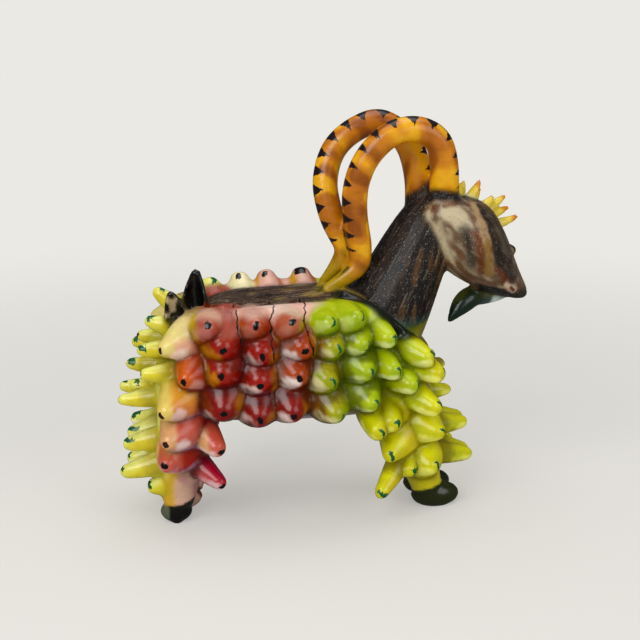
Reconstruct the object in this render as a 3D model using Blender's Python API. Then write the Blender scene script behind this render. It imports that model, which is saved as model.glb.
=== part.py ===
"""Hand-built glazed ceramic goat with finger tufts, one fired piece, +Z up, facing +X, in metres."""

import math

import bmesh
import bpy
from mathutils import Matrix, Vector

# Sizes are in millimetres; a swept form is turned into metres when it is made.
MM = 0.001

# Trunk: a thrown barrel lying along X. Places on it are given as shares of its length, half width and height.
TRUNK_LENGTH = 152
TRUNK_WIDTH = 74
TRUNK_HEIGHT = 82
BELLY_HEIGHT = 57.5
BACK_RISE = 5
TRUNK_PROFILE = (
    (0.0, 0.15), (0.05, 0.66), (0.13, 0.82), (0.25, 0.93), (0.5, 0.98), (0.74, 1.0), (0.92, 0.88), (1.0, 0.2),
)

# Bark-like plate that lies along the back.
PLATE_WIDTH = 55
PLATE_THICKNESS = 12
PLATE_PROFILE = ((0.14, 0.33), (0.21, 1.0), (0.41, 1.0), (0.6, 1.0), (0.76, 1.0), (0.83, 0.33))

# Roll of clay along each side of the plate, which the right flank's top row grows out of.
ROLL_THICKNESS = 20.5
ROLL = ((0.15, 0.77, 0.83), (0.3, 0.89, 0.87), (0.55, 0.89, 0.87), (0.76, 0.78, 0.84))

# Neck: a cone that leans forward out of the chest, with a rolled edge round its foot.
NECK_ROOT = (0.8, 0.0, 0.475)
NECK_LENGTH = 97
NECK_LEAN = 26.0
NECK_SIDE_LEAN = 2.0
NECK_THICKNESS = 54
NECK_TAPER = ((0.0, 0.98), (0.17, 1.0), (0.36, 0.96), (0.55, 0.87), (0.74, 0.79), (0.92, 0.68), (1.0, 0.55))
COLLAR_THICKNESS = 5.2
COLLAR = ((0.68, 0.54, 1.0), (0.79, 0.84, 0.91), (0.91, 0.81, 0.71), (1.0, 0.57, 0.52), (1.05, 0.17, 0.42))

# Head: a drop turned to the left, hanging down and rolled outward. Places on it are in its own axes.
HEAD_LENGTH = 95
HEAD_HEIGHT = 49
HEAD_WIDTH = 46
HEAD_TURN = 34.7
HEAD_DROP = 37.8
HEAD_ROLL = 17.0
HEAD_PROFILE = (
    (0.0, 0.69, 0.0), (0.116, 0.94, 0.0), (0.232, 1.0, 0.33), (0.4, 0.88, 0.67),
    (0.6, 0.67, 1.0), (0.8, 0.43, 0.67), (0.947, 0.265, 0.17), (1.0, 0.17, 0.0),
)
JAW_SAG = 3
SKULL_DEPTH = 14
NECK_END_IN_HEAD = (-16.7, 10.0, 6.6)
EYE_SIZE = 8.4
EYE_PLACE = (45, 6.5, 10.5)

# Beard leaf that swings back from the chin, in the head's axes, with its radius at each point.
BEARD = (
    (71, 2, -2.5, 3.0), (66, 7, -9, 3.8), (54, 10, -16, 5.4), (44, 12, -20, 7.0), (39, 16, -29, 7.0), (37, 21, -41, 1.8),
)

# Forehead fringe in the head's axes: root and run of each finger.
FRINGE_THICKNESS = 8
FRINGE = (
    ((-15, -2, 11), (-5, -6, 10)), ((-7, -5, 14), (-1, -8, 15)), ((4, -8, 16), (2, -7, 10)),
    ((8, -6, 17), (8, -11, 15)), ((13, -5, 16), (10, -11, 12)), ((23, -5, 16), (11, -12, 12)),
    ((-4, 3, 17), (-1, -2, 16)), ((5, 1, 19), (2, -4, 16)), ((18, 0.5, 18), (6, -4, 15)),
)

# Horns: coils that rise from the skull, arch back and run down to the withers.
# Each row is the share of the way back, the share of the height over the withers and the share of the spread.
HORN_THICKNESS = 15.4
HORN_SPREAD = 13
HORN_SINK = 13
HORN_ROOT_SWELL = 0.27
HORN_SWELL_END = 0.3
HORN_THIN_START = 0.72
HORN_THIN_LOSS = 0.62
HORN_THIN_POWER = 1.6
NEAR_HORN_ROOT = (-26.8, -1.4, 12.3)
NEAR_HORN_RISE = 39
NEAR_HORN_END = (0.61, -0.26, 1.0)
NEAR_HORN = (
    (0.007, 0.773, 0.62), (0.068, 0.928, 0.77), (0.257, 1.0, 0.92), (0.473, 0.969, 1.0), (0.655, 0.835, 1.0),
    (0.736, 0.68, 0.88), (0.75, 0.546, 0.77), (0.73, 0.402, 0.65), (0.689, 0.268, 0.58), (0.689, 0.144, 0.54),
    (0.838, 0.057, 0.62),
)
FAR_HORN_ROOT = (-27.0, 16.0, 16.1)
FAR_HORN_RISE = 42
FAR_HORN_END = (0.625, 0.15, 1.02)
FAR_HORN = (
    (0.033, 0.711, 0.77), (0.098, 0.835, 0.88), (0.23, 0.938, 1.0), (0.426, 1.0, 1.08), (0.639, 0.948, 1.08),
    (0.82, 0.866, 1.0), (0.918, 0.763, 0.92), (0.967, 0.629, 0.73), (0.951, 0.526, 0.58), (0.902, 0.402, 0.38),
    (0.836, 0.309, 0.23), (0.77, 0.206, 0.15), (0.885, 0.082, 0.23),
)

# Tail: two cupped petals, as root, middle and tip from the tail's place on the rump, and radius.
TAIL_PLACE = (0.11, -0.28, 0.73)
TAIL_PETALS = (
    ((0, 0, 4), (-1, 0, 23), (0, 0, 38), 8.6),
    ((-6, -2, 0), (-12, -3, 15), (-15, -3, 26), 8.6),
)
PETAL_TAPER = (0.8, 1.0, 0.4)
PETAL_OPENING = (-1.2, -3.4, 0.4)
PETAL_HOLLOW = 0.76
PETAL_HOLLOW_START = 0.75
PETAL_HOLLOW_END = 0.9

# Legs and hooves. The legs of a pair stand close together; the left rear foot stands a little ahead.
LEG_SPREAD = 22
HIP_SPREAD = 30
HIP_HEIGHT_SHARE = 0.45
ANKLE_HEIGHT = 12
ANKLE_THICKNESS = 19
LEG_TAPER = (2.5, 2.0, 1.45, 1.0)
FRONT_HIP = 0.88
FRONT_REACH = 25
FRONT_HOOF_HEEL = 3
FRONT_HOOF_TOE = 14
REAR_HIP = 0.09
REAR_REACH = -11
REAR_HOOF_HEEL = 4
REAR_HOOF_TOE = 2
FAR_REAR_STEP = 8
HOOF_HEIGHT = 15.5
HOOF_WIDTH = 18
HOOF_PROFILE = ((0.0, 0.8), (0.3, 1.0), (0.7, 1.0), (1.0, 0.8))

# Flank tufts, in strips from rump to shoulder: shares of the trunk's length and height, from the top row down.
TUFT_LENGTH = 14
TUFT_SINK = 12
TUFT_THICKNESS = 31
TOP_TUFT_THICKNESS = 24
ROW_LIFT = (-9, 5, 6, 9)
STRIP_ROOT_SHIFT = (3, 1, -2, -4, -7)
STRIP_FULLNESS = (1.0, 0.98, 0.95, 0.88, 0.82)
FLANK_STRIPS = (
    ((0.13, 0.93), (0.18, 0.75), (0.18, 0.56), (0.18, 0.29)),
    ((0.31, 0.92), (0.33, 0.69), (0.32, 0.48), (0.32, 0.22)),
    ((0.45, 0.91), (0.49, 0.7), (0.47, 0.5), (0.45, 0.23)),
    ((0.59, 0.9), (0.61, 0.69), (0.59, 0.45), (0.62, 0.19)),
    ((0.7, 0.92), (0.72, 0.7), (0.74, 0.49), (0.76, 0.25)),
)

# Long fingers of both sides: root as shares of the trunk's length and height, then the run with Y outward.
SIDE_FINGER_THICKNESS = 21
SIDE_FINGER_ROOT = 0.53
SIDE_FINGERS = (
    (0.76, 0.8, (11, 27, -7)), (0.78, 0.56, (11, 27, -7)), (0.84, 0.43, (13, 26, -6)),
    (0.88, 0.62, (17, 24, -6)), (0.92, 0.5, (18, 23, -7)), (0.91, 0.28, (17, 26, -9)), (0.84, 0.21, (1, 26, -12)),
    (0.08, 0.16, (13, 26, -13)),
)
HAUNCH_TUFT_THICKNESS = 27
HAUNCH_TUFTS = (
    (0.15, 0.82, (-29, 20, -7)), (0.14, 0.61, (-16, 29, -6)), (0.09, 0.4, (-21, 28, -8)), (0.08, 0.18, (-18, 28, -8)),
)
RIGHT_SIDE_FINGERS = ((0.79, 0.16, (-1, 29, -11)),)

# Top row of the left flank, which stands up behind the back plate.
LEFT_TOP_ROOT = 0.66
LEFT_TOP_THICKNESS = 20.5
LEFT_TOP_FINGERS = (
    (0.2, 0.84, (-2, 9, 15)), (0.32, 0.85, (-1, 13, 15)), (0.43, 0.86, (-1, 13, 14.5)),
    (0.57, 0.86, (0, 13, 14.5)), (0.7, 0.83, (1, 16, 12)), (0.8, 0.75, (3, 22, 6)),
)

# Fingers of the rump and chest: root as shares of the trunk's length, half width and height, then the run.
END_FINGER_THICKNESS = 13.6
END_FINGERS = (
    ((0.08, 0.18, 0.87), (-18, 3, 13)), ((0.05, -0.24, 0.8), (-20, 2, 5)), ((0.05, 0.35, 0.67), (-24, 2, 1)),
    ((0.04, -0.35, 0.67), (-24, -2, 0)), ((0.04, 0.71, 0.58), (-25, 6, 0)), ((0.03, 0.18, 0.48), (-28, 2, 1)),
    ((0.04, -0.65, 0.53), (-23, -2, 0)), ((0.03, -0.18, 0.38), (-27, 0, 0)), ((0.03, -0.41, 0.33), (-34, 0, -2)),
    ((0.03, 0.47, 0.28), (-32, 2, 0)),
    ((0.99, 0.0, 0.42), (8, -1, 8)), ((0.99, -0.12, 0.32), (18, -2, 5)), ((0.97, 0.35, 0.32), (21, 4, 4)),
    ((1.0, 0.12, 0.13), (24, 1, -1)),
)

# Fingers of the legs: share of the way down the leg, then the run from its middle with Y outward.
LEG_FINGER_THICKNESS = 17
FRONT_LEG_FINGERS = ((0.5, (37, -8, -3)), (0.7, (36, -8, -8)))
RIGHT_FRONT_LEG_FINGERS = ((0.6, (-26, 27, -26)), (0.62, (-8, 22, -14)))
LEFT_FRONT_LEG_FINGERS = ((0.68, (30, 6, -7)),)
REAR_LEG_FINGERS = (
    (0.58, (20, 23, -15)), (0.62, (-36, -1, -9)), (0.81, (-19, -2, -5)), (0.42, (-36, -3, -8)),
)
LEFT_REAR_LEG_FINGERS = ((0.42, (-33, 13, -4)),)

# Blunt tufts on the outer sides of the legs, placed like the legs' fingers.
LEG_TUFT_THICKNESS = 26
FRONT_LEG_TUFTS = ((0.22, (-20, 30, -17)), (0.45, (-18, 29, -15)), (0.42, (16, 26, -5)), (0.72, (5, 23, -3)))
REAR_LEG_TUFTS = ((0.5, (-15, 31, -5)),)

# A finger's thickness along its length, for the pointed fingers and the blunt flank tufts.
POINTED = ((0.0, 1.0), (0.3, 1.0), (0.62, 0.82), (0.86, 0.62), (1.0, 0.5), (1.06, 0.25), (1.07, 0.0))
BLUNT = ((0.0, 1.12), (0.3, 1.08), (0.52, 0.96), (0.72, 0.7), (0.9, 0.44), (1.03, 0.26), (1.04, 0.0))
THIN = ((0.0, 1.0), (0.35, 0.85), (0.7, 0.65), (1.0, 0.35), (1.05, 0.0))
FINGER_SAG = 3.0

# Round nose at the ends of a rolled form: how far out its shoulder lies and how wide it is there.
NOSE_SHOULDER = 0.8
NOSE_SHOULDER_WIDTH = 0.6

# Skin: the forms are fused in small cells, softened like wet clay and thinned to large facets.
CELL_SIZE = 1.25
SOFTEN_STEPS = 3
SKIN_TRIANGLES = 11500
TUBE_RESOLUTION = 3
TUBE_STEPS = 5

GLAZE_COLOUR = (0.62, 0.52, 0.06, 1.0)
GLAZE_ROUGHNESS = 0.18


def clear_scene():
    """Start from an empty file."""
    for thing in list(bpy.data.objects):
        bpy.data.objects.remove(thing, do_unlink=True)


def on_trunk(along, out, up):
    """Point at shares of the trunk's length, half width and height."""
    rise = BACK_RISE * (along - 0.5)
    return Vector((along * TRUNK_LENGTH, out * TRUNK_WIDTH / 2, BELLY_HEIGHT + rise + up * TRUNK_HEIGHT))


def neck_point(along):
    """Point on the middle line of the neck."""
    lean = math.radians(NECK_LEAN)
    side = math.radians(NECK_SIDE_LEAN)
    run = Vector((math.sin(lean), math.sin(side), math.cos(lean)))
    return on_trunk(*NECK_ROOT) + run * NECK_LENGTH * along


def head_turn():
    """Rotation from the head's own axes to the world's."""
    turn = Matrix.Rotation(math.radians(HEAD_TURN), 3, "Z")
    drop = Matrix.Rotation(math.radians(HEAD_DROP), 3, "Y")
    roll = Matrix.Rotation(math.radians(-HEAD_ROLL), 3, "X")
    return turn @ drop @ roll


def on_head(place):
    """World point of a place given in the head's own axes."""
    origin = neck_point(1.0) - head_turn() @ Vector(NECK_END_IN_HEAD)
    return origin + head_turn() @ Vector(place)


def leg_point(hip, reach, side, along, step):
    """Point on the middle line of a leg, from hip to ankle."""
    top = on_trunk(hip, 0.0, HIP_HEIGHT_SHARE)
    top.y = side * HIP_SPREAD / 2
    ankle = Vector((top.x + reach + step, side * LEG_SPREAD / 2, ANKLE_HEIGHT))
    return top.lerp(ankle, along)


def tube(points, radii, width=1.0):
    """Closed tube along the points, its Y size multiplied by width."""
    curve = bpy.data.curves.new("tube", "CURVE")
    curve.dimensions = "3D"
    curve.bevel_depth = 1.0
    curve.bevel_resolution = TUBE_RESOLUTION
    curve.use_fill_caps = True
    spline = curve.splines.new("NURBS")
    spline.points.add(len(points) - 1)
    for point, place, radius in zip(spline.points, points, radii):
        point.co = (place[0], place[1] / width, place[2], 1.0)
        point.radius = radius
    spline.order_u = 3
    spline.use_endpoint_u = True
    spline.resolution_u = TUBE_STEPS
    carrier = bpy.data.objects.new("tube", curve)
    mesh = bpy.data.meshes.new_from_object(carrier)
    mesh.transform(Matrix.Diagonal((MM, width * MM, MM, 1.0)))
    return mesh


def round_tube(points, radii, width=1.0):
    """Tube with a round nose at both ends."""
    line = [Vector(point) for point in points]
    back = (line[0] - line[1]).normalized() * radii[0]
    ahead = (line[-1] - line[-2]).normalized() * radii[-1]
    first = [line[0] + back, line[0] + back * NOSE_SHOULDER]
    last = [line[-1] + ahead * NOSE_SHOULDER, line[-1] + ahead]
    line = first + line + last
    sizes = [0.0, radii[0] * NOSE_SHOULDER_WIDTH] + list(radii) + [radii[-1] * NOSE_SHOULDER_WIDTH, 0.0]
    return tube(line, sizes, width)


def finger(root, run, thickness, profile=POINTED):
    """One tuft from its root along its run, with a slight sag."""
    points = []
    sizes = []
    for along, size in profile:
        sag = FINGER_SAG * along * (1.0 - along)
        points.append(root + run * along - Vector((0, 0, sag)))
        sizes.append(thickness / 2 * size)
    return tube(points, sizes)


def outward(run, side):
    """A run whose Y is measured away from the middle plane."""
    return Vector((run[0], side * run[1], run[2]))


def trunk():
    """Barrel of the body, the plate on its back and the rolls beside it."""
    line = [on_trunk(along, 0.0, 0.5) for along, size in TRUNK_PROFILE]
    sizes = [TRUNK_HEIGHT / 2 * size for along, size in TRUNK_PROFILE]
    barrel = round_tube(line, sizes, TRUNK_WIDTH / TRUNK_HEIGHT)
    middle = 1.0 - PLATE_THICKNESS / 2 / TRUNK_HEIGHT
    plate_line = [on_trunk(along, 0.0, middle) for along, size in PLATE_PROFILE]
    plate_sizes = [PLATE_THICKNESS / 2 * size for along, size in PLATE_PROFILE]
    meshes = [barrel, tube(plate_line, plate_sizes, PLATE_WIDTH / PLATE_THICKNESS)]
    for side in (-1, 1):
        edge = [on_trunk(along, side * out, up) for along, out, up in ROLL]
        meshes.append(round_tube(edge, [ROLL_THICKNESS / 2] * len(edge)))
    return meshes


def neck():
    """Cone of the neck and the rolled edge round its foot."""
    line = [neck_point(along) for along, size in NECK_TAPER]
    meshes = [round_tube(line, [NECK_THICKNESS / 2 * size for along, size in NECK_TAPER])]
    for side in (-1, 1):
        edge = [on_trunk(along, side * out, up) for along, out, up in COLLAR]
        meshes.append(round_tube(edge, [COLLAR_THICKNESS / 2] * len(edge)))
    return meshes


def head():
    """Head and eyes, built along X and then turned."""
    line = []
    sizes = []
    for along, size, sag in HEAD_PROFILE:
        line.append((along * HEAD_LENGTH - SKULL_DEPTH, 0, -sag * JAW_SAG))
        sizes.append(HEAD_HEIGHT / 2 * size)
    meshes = [round_tube(line, sizes, HEAD_WIDTH / HEAD_HEIGHT)]
    place = Matrix.Translation(on_head((0, 0, 0)) * MM) @ head_turn().to_4x4()
    meshes[0].transform(place)
    for side in (-1, 1):
        centre = on_head((EYE_PLACE[0], side * EYE_PLACE[1], EYE_PLACE[2]))
        length = Vector((EYE_SIZE / 4, 0, 0))
        meshes.append(round_tube((centre - length, centre + length), (EYE_SIZE / 2, EYE_SIZE / 2)))
    return meshes


def face_trim():
    """Beard leaf and forehead fringe."""
    beard = round_tube([on_head(row[:3]) for row in BEARD], [row[3] for row in BEARD])
    turn = head_turn()
    return [beard] + [finger(on_head(root), turn @ Vector(run), FRINGE_THICKNESS, THIN) for root, run in FRINGE]


def horn_size(along):
    """Share of the horn's full thickness: swollen at the skull, even, then thin toward the withers."""
    if along < HORN_SWELL_END:
        return 1.0 + HORN_ROOT_SWELL * (1.0 - along / HORN_SWELL_END)
    if along < HORN_THIN_START:
        return 1.0
    thinned = (along - HORN_THIN_START) / (1.0 - HORN_THIN_START)
    return 1.0 - HORN_THIN_LOSS * thinned ** HORN_THIN_POWER


def horn(root, rise, profile, end, side):
    """One coil from the skull to the withers."""
    base = on_head(root)
    foot = on_trunk(*end)
    crown = base.z + rise
    line = [base - Vector((0, 0, HORN_SINK)), base]
    for back, up, out in profile:
        x = base.x + back * (foot.x - base.x)
        z = foot.z + up * (crown - foot.z)
        line.append(Vector((x, side * out * HORN_SPREAD, z)))
    line.append(foot)
    last = len(line) - 1
    return round_tube(line, [HORN_THICKNESS / 2 * horn_size(index / last) for index in range(last + 1)])


def cut_out(body_mesh, hollow_mesh):
    """The body mesh with the hollow mesh taken away."""
    body = bpy.data.objects.new("petal", body_mesh)
    hollow = bpy.data.objects.new("petal_hollow", hollow_mesh)
    for thing in (body, hollow):
        bpy.context.scene.collection.objects.link(thing)
    hollow.hide_render = True
    hollow.display_type = "WIRE"
    boolean = body.modifiers.new("hollow", "BOOLEAN")
    boolean.operation = "DIFFERENCE"
    boolean.solver = "EXACT"
    boolean.object = hollow
    mesh = evaluated_mesh(body)
    for thing in (body, hollow):
        bpy.data.objects.remove(thing, do_unlink=True)
    return mesh


def tail():
    """Two cupped petals that stand on the rump."""
    place = on_trunk(*TAIL_PLACE)
    shift = Vector(PETAL_OPENING)
    meshes = []
    for root, middle, tip, radius in TAIL_PETALS:
        line = [place + Vector(point) for point in (root, middle, tip)]
        sizes = [radius * share for share in PETAL_TAPER]
        low = line[1].lerp(line[0], PETAL_HOLLOW_START)
        high = line[1].lerp(line[2], PETAL_HOLLOW_END)
        inner = [low + shift, line[1] + shift, high + shift]
        hollow = round_tube(inner, [size * PETAL_HOLLOW for size in sizes])
        meshes.append(cut_out(round_tube(line, sizes), hollow))
    return meshes


def leg(hip, reach, heel, toe, side, step):
    """One leg with its hoof."""
    shares = [index / (len(LEG_TAPER) - 1) for index in range(len(LEG_TAPER))]
    line = [leg_point(hip, reach, side, along, step) for along in shares]
    shank = tube(line, [ANKLE_THICKNESS / 2 * size for size in LEG_TAPER])
    ankle = line[-1]
    middle = HOOF_HEIGHT - HOOF_WIDTH / 2
    hoof_line = []
    for along, size in HOOF_PROFILE:
        hoof_line.append(((ankle.x - heel + along * (heel + toe), ankle.y, middle), size))
    hoof = round_tube([point for point, size in hoof_line], [HOOF_WIDTH / 2 * size for point, size in hoof_line])
    return [shank, hoof]


def leg_fingers(hip, reach, side, step, fingers, tufts):
    """Pointed fingers and blunt tufts that stand out from one leg."""
    meshes = []
    for along, run in fingers:
        root = leg_point(hip, reach, side, along, step)
        meshes.append(finger(root, outward(run, side), LEG_FINGER_THICKNESS))
    for along, run in tufts:
        root = leg_point(hip, reach, side, along, step)
        meshes.append(finger(root, outward(run, side), LEG_TUFT_THICKNESS, BLUNT))
    return meshes


def legs():
    """Four legs with their fingers."""
    meshes = []
    for side in (-1, 1):
        step = FAR_REAR_STEP if side > 0 else 0
        front = FRONT_LEG_FINGERS + (LEFT_FRONT_LEG_FINGERS if side > 0 else RIGHT_FRONT_LEG_FINGERS)
        rear = REAR_LEG_FINGERS + (LEFT_REAR_LEG_FINGERS if side > 0 else ())
        meshes.extend(leg(FRONT_HIP, FRONT_REACH, FRONT_HOOF_HEEL, FRONT_HOOF_TOE, side, 0))
        meshes.extend(leg(REAR_HIP, REAR_REACH, REAR_HOOF_HEEL, REAR_HOOF_TOE, side, step))
        meshes.extend(leg_fingers(FRONT_HIP, FRONT_REACH, side, 0, front, FRONT_LEG_TUFTS))
        meshes.extend(leg_fingers(REAR_HIP, REAR_REACH, side, step, rear, REAR_LEG_TUFTS))
    return meshes


def flank_strip(strip, side, root_shift, fullness):
    """One strip of flank tufts; the left flank's top row is built by itself."""
    meshes = []
    for row, (along, up) in enumerate(strip):
        if side > 0 and row == 0:
            continue
        tip = on_trunk(along, side, up) + Vector((0, side * TUFT_LENGTH, 0))
        root = on_trunk(along, side, up) + Vector((root_shift, -side * TUFT_SINK, ROW_LIFT[row]))
        thickness = TUFT_THICKNESS * fullness if row else TOP_TUFT_THICKNESS
        meshes.append(finger(root, tip - root, thickness, BLUNT))
    return meshes


def trunk_fingers():
    """Tufts and fingers that stand on the trunk."""
    meshes = []
    for side in (-1, 1):
        for strip, root_shift, fullness in zip(FLANK_STRIPS, STRIP_ROOT_SHIFT, STRIP_FULLNESS):
            meshes.extend(flank_strip(strip, side, root_shift, fullness))
        fingers = SIDE_FINGERS + (RIGHT_SIDE_FINGERS if side < 0 else ())
        for along, up, run in fingers:
            root = on_trunk(along, side * SIDE_FINGER_ROOT, up)
            meshes.append(finger(root, outward(run, side), SIDE_FINGER_THICKNESS))
        for along, up, run in HAUNCH_TUFTS:
            root = on_trunk(along, side * SIDE_FINGER_ROOT, up)
            meshes.append(finger(root, outward(run, side), HAUNCH_TUFT_THICKNESS, BLUNT))
    for along, up, run in LEFT_TOP_FINGERS:
        meshes.append(finger(on_trunk(along, LEFT_TOP_ROOT, up), Vector(run), LEFT_TOP_THICKNESS))
    for root, run in END_FINGERS:
        meshes.append(finger(on_trunk(*root), Vector(run), END_FINGER_THICKNESS))
    return meshes


def forms():
    """Every form of the goat, as closed meshes that overlap each other."""
    meshes = trunk() + neck() + head() + face_trim() + tail() + legs() + trunk_fingers()
    meshes.append(horn(NEAR_HORN_ROOT, NEAR_HORN_RISE, NEAR_HORN, NEAR_HORN_END, -1))
    meshes.append(horn(FAR_HORN_ROOT, FAR_HORN_RISE, FAR_HORN, FAR_HORN_END, 1))
    return meshes


def joined(meshes):
    """One mesh that holds every form."""
    shell = bmesh.new()
    for mesh in meshes:
        shell.from_mesh(mesh)
    mesh = bpy.data.meshes.new("forms")
    shell.to_mesh(mesh)
    shell.free()
    return mesh


def evaluated_mesh(thing):
    """The mesh of an object with its modifiers applied."""
    graph = bpy.context.evaluated_depsgraph_get()
    return bpy.data.meshes.new_from_object(thing.evaluated_get(graph))


def fused_skin(thing):
    """Melt the overlapping forms into one closed skin with soft joins, then thin it out."""
    remesh = thing.modifiers.new("fuse", "REMESH")
    remesh.mode = "VOXEL"
    remesh.voxel_size = CELL_SIZE * MM
    smooth = thing.modifiers.new("soften", "SMOOTH")
    smooth.factor = 0.5
    smooth.iterations = SOFTEN_STEPS
    fine = evaluated_mesh(thing)
    fine.calc_loop_triangles()
    thin = thing.modifiers.new("thin", "DECIMATE")
    thin.ratio = SKIN_TRIANGLES / len(fine.loop_triangles)
    return evaluated_mesh(thing)


def stand_flat(mesh):
    """Cut the hooves level at z = 0 and close the cuts."""
    skin = bmesh.new()
    skin.from_mesh(mesh)
    everything = skin.verts[:] + skin.edges[:] + skin.faces[:]
    down = (0, 0, -1)
    bmesh.ops.bisect_plane(skin, geom=everything, dist=1e-7, plane_co=(0, 0, 0), plane_no=down, clear_outer=True)
    open_edges = [edge for edge in skin.edges if edge.is_boundary]
    bmesh.ops.holes_fill(skin, edges=open_edges)
    bmesh.ops.triangulate(skin, faces=skin.faces[:])
    bmesh.ops.recalc_face_normals(skin, faces=skin.faces[:])
    skin.to_mesh(mesh)
    skin.free()


def centre_on_ground(mesh):
    """Put the middle of the goat's outline over the origin."""
    low = [min(vertex.co[axis] for vertex in mesh.vertices) for axis in range(3)]
    high = [max(vertex.co[axis] for vertex in mesh.vertices) for axis in range(3)]
    mesh.transform(Matrix.Translation((-(low[0] + high[0]) / 2, -(low[1] + high[1]) / 2, -low[2])))


def glaze_material():
    """Thick shiny glaze of the whole figurine."""
    material = bpy.data.materials.new("glazed_ceramic")
    material.use_nodes = True
    shader = material.node_tree.nodes["Principled BSDF"]
    shader.inputs["Base Color"].default_value = GLAZE_COLOUR
    shader.inputs["Roughness"].default_value = GLAZE_ROUGHNESS
    return material


def build_goat():
    """The whole figurine as one object."""
    goat = bpy.data.objects.new("goat", joined(forms()))
    bpy.context.scene.collection.objects.link(goat)
    skin = fused_skin(goat)
    goat.modifiers.clear()
    stand_flat(skin)
    centre_on_ground(skin)
    skin.materials.clear()
    skin.materials.append(glaze_material())
    for face in skin.polygons:
        face.use_smooth = True
    goat.data = skin
    skin.name = "goat"


clear_scene()
build_goat()
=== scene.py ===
"""Looks of a hand-built glazed ceramic goat covered in finger tufts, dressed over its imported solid."""

import math
from functools import partial

import bmesh
import bpy
import numpy as np
from mathutils import Matrix, Vector


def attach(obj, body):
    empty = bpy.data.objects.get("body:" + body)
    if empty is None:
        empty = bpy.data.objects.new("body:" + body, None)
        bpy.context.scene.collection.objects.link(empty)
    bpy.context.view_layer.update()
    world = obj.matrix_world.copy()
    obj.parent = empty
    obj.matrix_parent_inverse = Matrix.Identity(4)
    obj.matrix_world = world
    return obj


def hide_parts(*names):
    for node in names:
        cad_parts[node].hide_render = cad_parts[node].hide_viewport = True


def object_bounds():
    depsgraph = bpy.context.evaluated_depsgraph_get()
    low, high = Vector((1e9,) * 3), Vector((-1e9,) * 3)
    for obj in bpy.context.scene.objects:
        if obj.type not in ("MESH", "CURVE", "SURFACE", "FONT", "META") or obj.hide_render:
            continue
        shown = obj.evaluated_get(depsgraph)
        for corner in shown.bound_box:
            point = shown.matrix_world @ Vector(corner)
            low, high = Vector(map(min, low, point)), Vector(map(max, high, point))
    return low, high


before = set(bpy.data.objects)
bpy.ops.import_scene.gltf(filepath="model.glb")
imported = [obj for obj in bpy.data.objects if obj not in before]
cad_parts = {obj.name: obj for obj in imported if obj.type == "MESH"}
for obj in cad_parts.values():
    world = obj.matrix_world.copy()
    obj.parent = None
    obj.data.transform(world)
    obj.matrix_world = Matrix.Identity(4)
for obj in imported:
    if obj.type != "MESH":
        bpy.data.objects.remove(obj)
FRAME_LOW, FRAME_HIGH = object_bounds()

# Sizes are in millimetres; a swept form is turned into metres when it is made.
MM = 0.001

# Trunk: a thrown barrel lying along X. Places on it are shares of its length, half width and height.
TRUNK_LENGTH = 152
TRUNK_WIDTH = 74
TRUNK_HEIGHT = 82
BELLY_HEIGHT = 57.5
BACK_RISE = 5
TRUNK_PROFILE = (
    (0.0, 0.15), (0.05, 0.66), (0.13, 0.82), (0.25, 0.93),
    (0.5, 0.98), (0.74, 1.0), (0.92, 0.88), (1.0, 0.2),
)

# Bark-like plate that lies along the back.
PLATE_WIDTH = 55
PLATE_THICKNESS = 12
PLATE_PROFILE = ((0.14, 0.33), (0.21, 1.0), (0.41, 1.0), (0.6, 1.0), (0.76, 1.0), (0.83, 0.33))

# Roll of clay along each side of the plate, which the right flank's top row grows out of.
ROLL_THICKNESS = 20.5
ROLL = ((0.15, 0.77, 0.83), (0.3, 0.89, 0.87), (0.55, 0.89, 0.87), (0.76, 0.78, 0.84))

# Neck: a cone that leans forward out of the chest, with a rolled edge round its foot.
NECK_ROOT = (0.8, 0.0, 0.475)
NECK_LENGTH = 97
NECK_LEAN = 26.0
NECK_SIDE_LEAN = 2.0
NECK_THICKNESS = 54
NECK_TAPER = ((0.0, 0.98), (0.17, 1.0), (0.36, 0.96), (0.55, 0.87), (0.74, 0.79), (0.92, 0.68), (1.0, 0.55))
COLLAR_THICKNESS = 5.2
COLLAR = ((0.68, 0.54, 1.0), (0.79, 0.84, 0.91), (0.91, 0.81, 0.71), (1.0, 0.57, 0.52), (1.05, 0.17, 0.42))

# Head: a drop turned to the left, hanging down and rolled outward. Places on it are in its own axes.
HEAD_LENGTH = 95
HEAD_HEIGHT = 49
HEAD_WIDTH = 46
HEAD_TURN = 34.7
HEAD_DROP = 37.8
HEAD_ROLL = 17.0
HEAD_PROFILE = (
    (0.0, 0.69, 0.0), (0.116, 0.94, 0.0), (0.232, 1.0, 0.33), (0.4, 0.88, 0.67),
    (0.6, 0.67, 1.0), (0.8, 0.43, 0.67), (0.947, 0.265, 0.17), (1.0, 0.17, 0.0),
)
JAW_SAG = 3
SKULL_DEPTH = 14
NECK_END_IN_HEAD = (-16.7, 10.0, 6.6)
EYE_SIZE = 8.4
EYE_PLACE = (45, 6.5, 10.5)

# Beard leaf that swings back from the chin, in the head's axes, with its radius at each point.
BEARD = (
    (71, 2, -2.5, 3.0), (66, 7, -9, 3.8), (54, 10, -16, 5.4),
    (44, 12, -20, 7.0), (39, 16, -29, 7.0), (37, 21, -41, 1.8),
)

# Forehead fringe in the head's axes: root and run of each finger.
FRINGE_THICKNESS = 8
FRINGE = (
    ((-15, -2, 11), (-5, -6, 10)), ((-7, -5, 14), (-1, -8, 15)), ((4, -8, 16), (2, -7, 10)),
    ((8, -6, 17), (8, -11, 15)), ((13, -5, 16), (10, -11, 12)), ((23, -5, 16), (11, -12, 12)),
    ((-4, 3, 17), (-1, -2, 16)), ((5, 1, 19), (2, -4, 16)), ((18, 0.5, 18), (6, -4, 15)),
)

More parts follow.
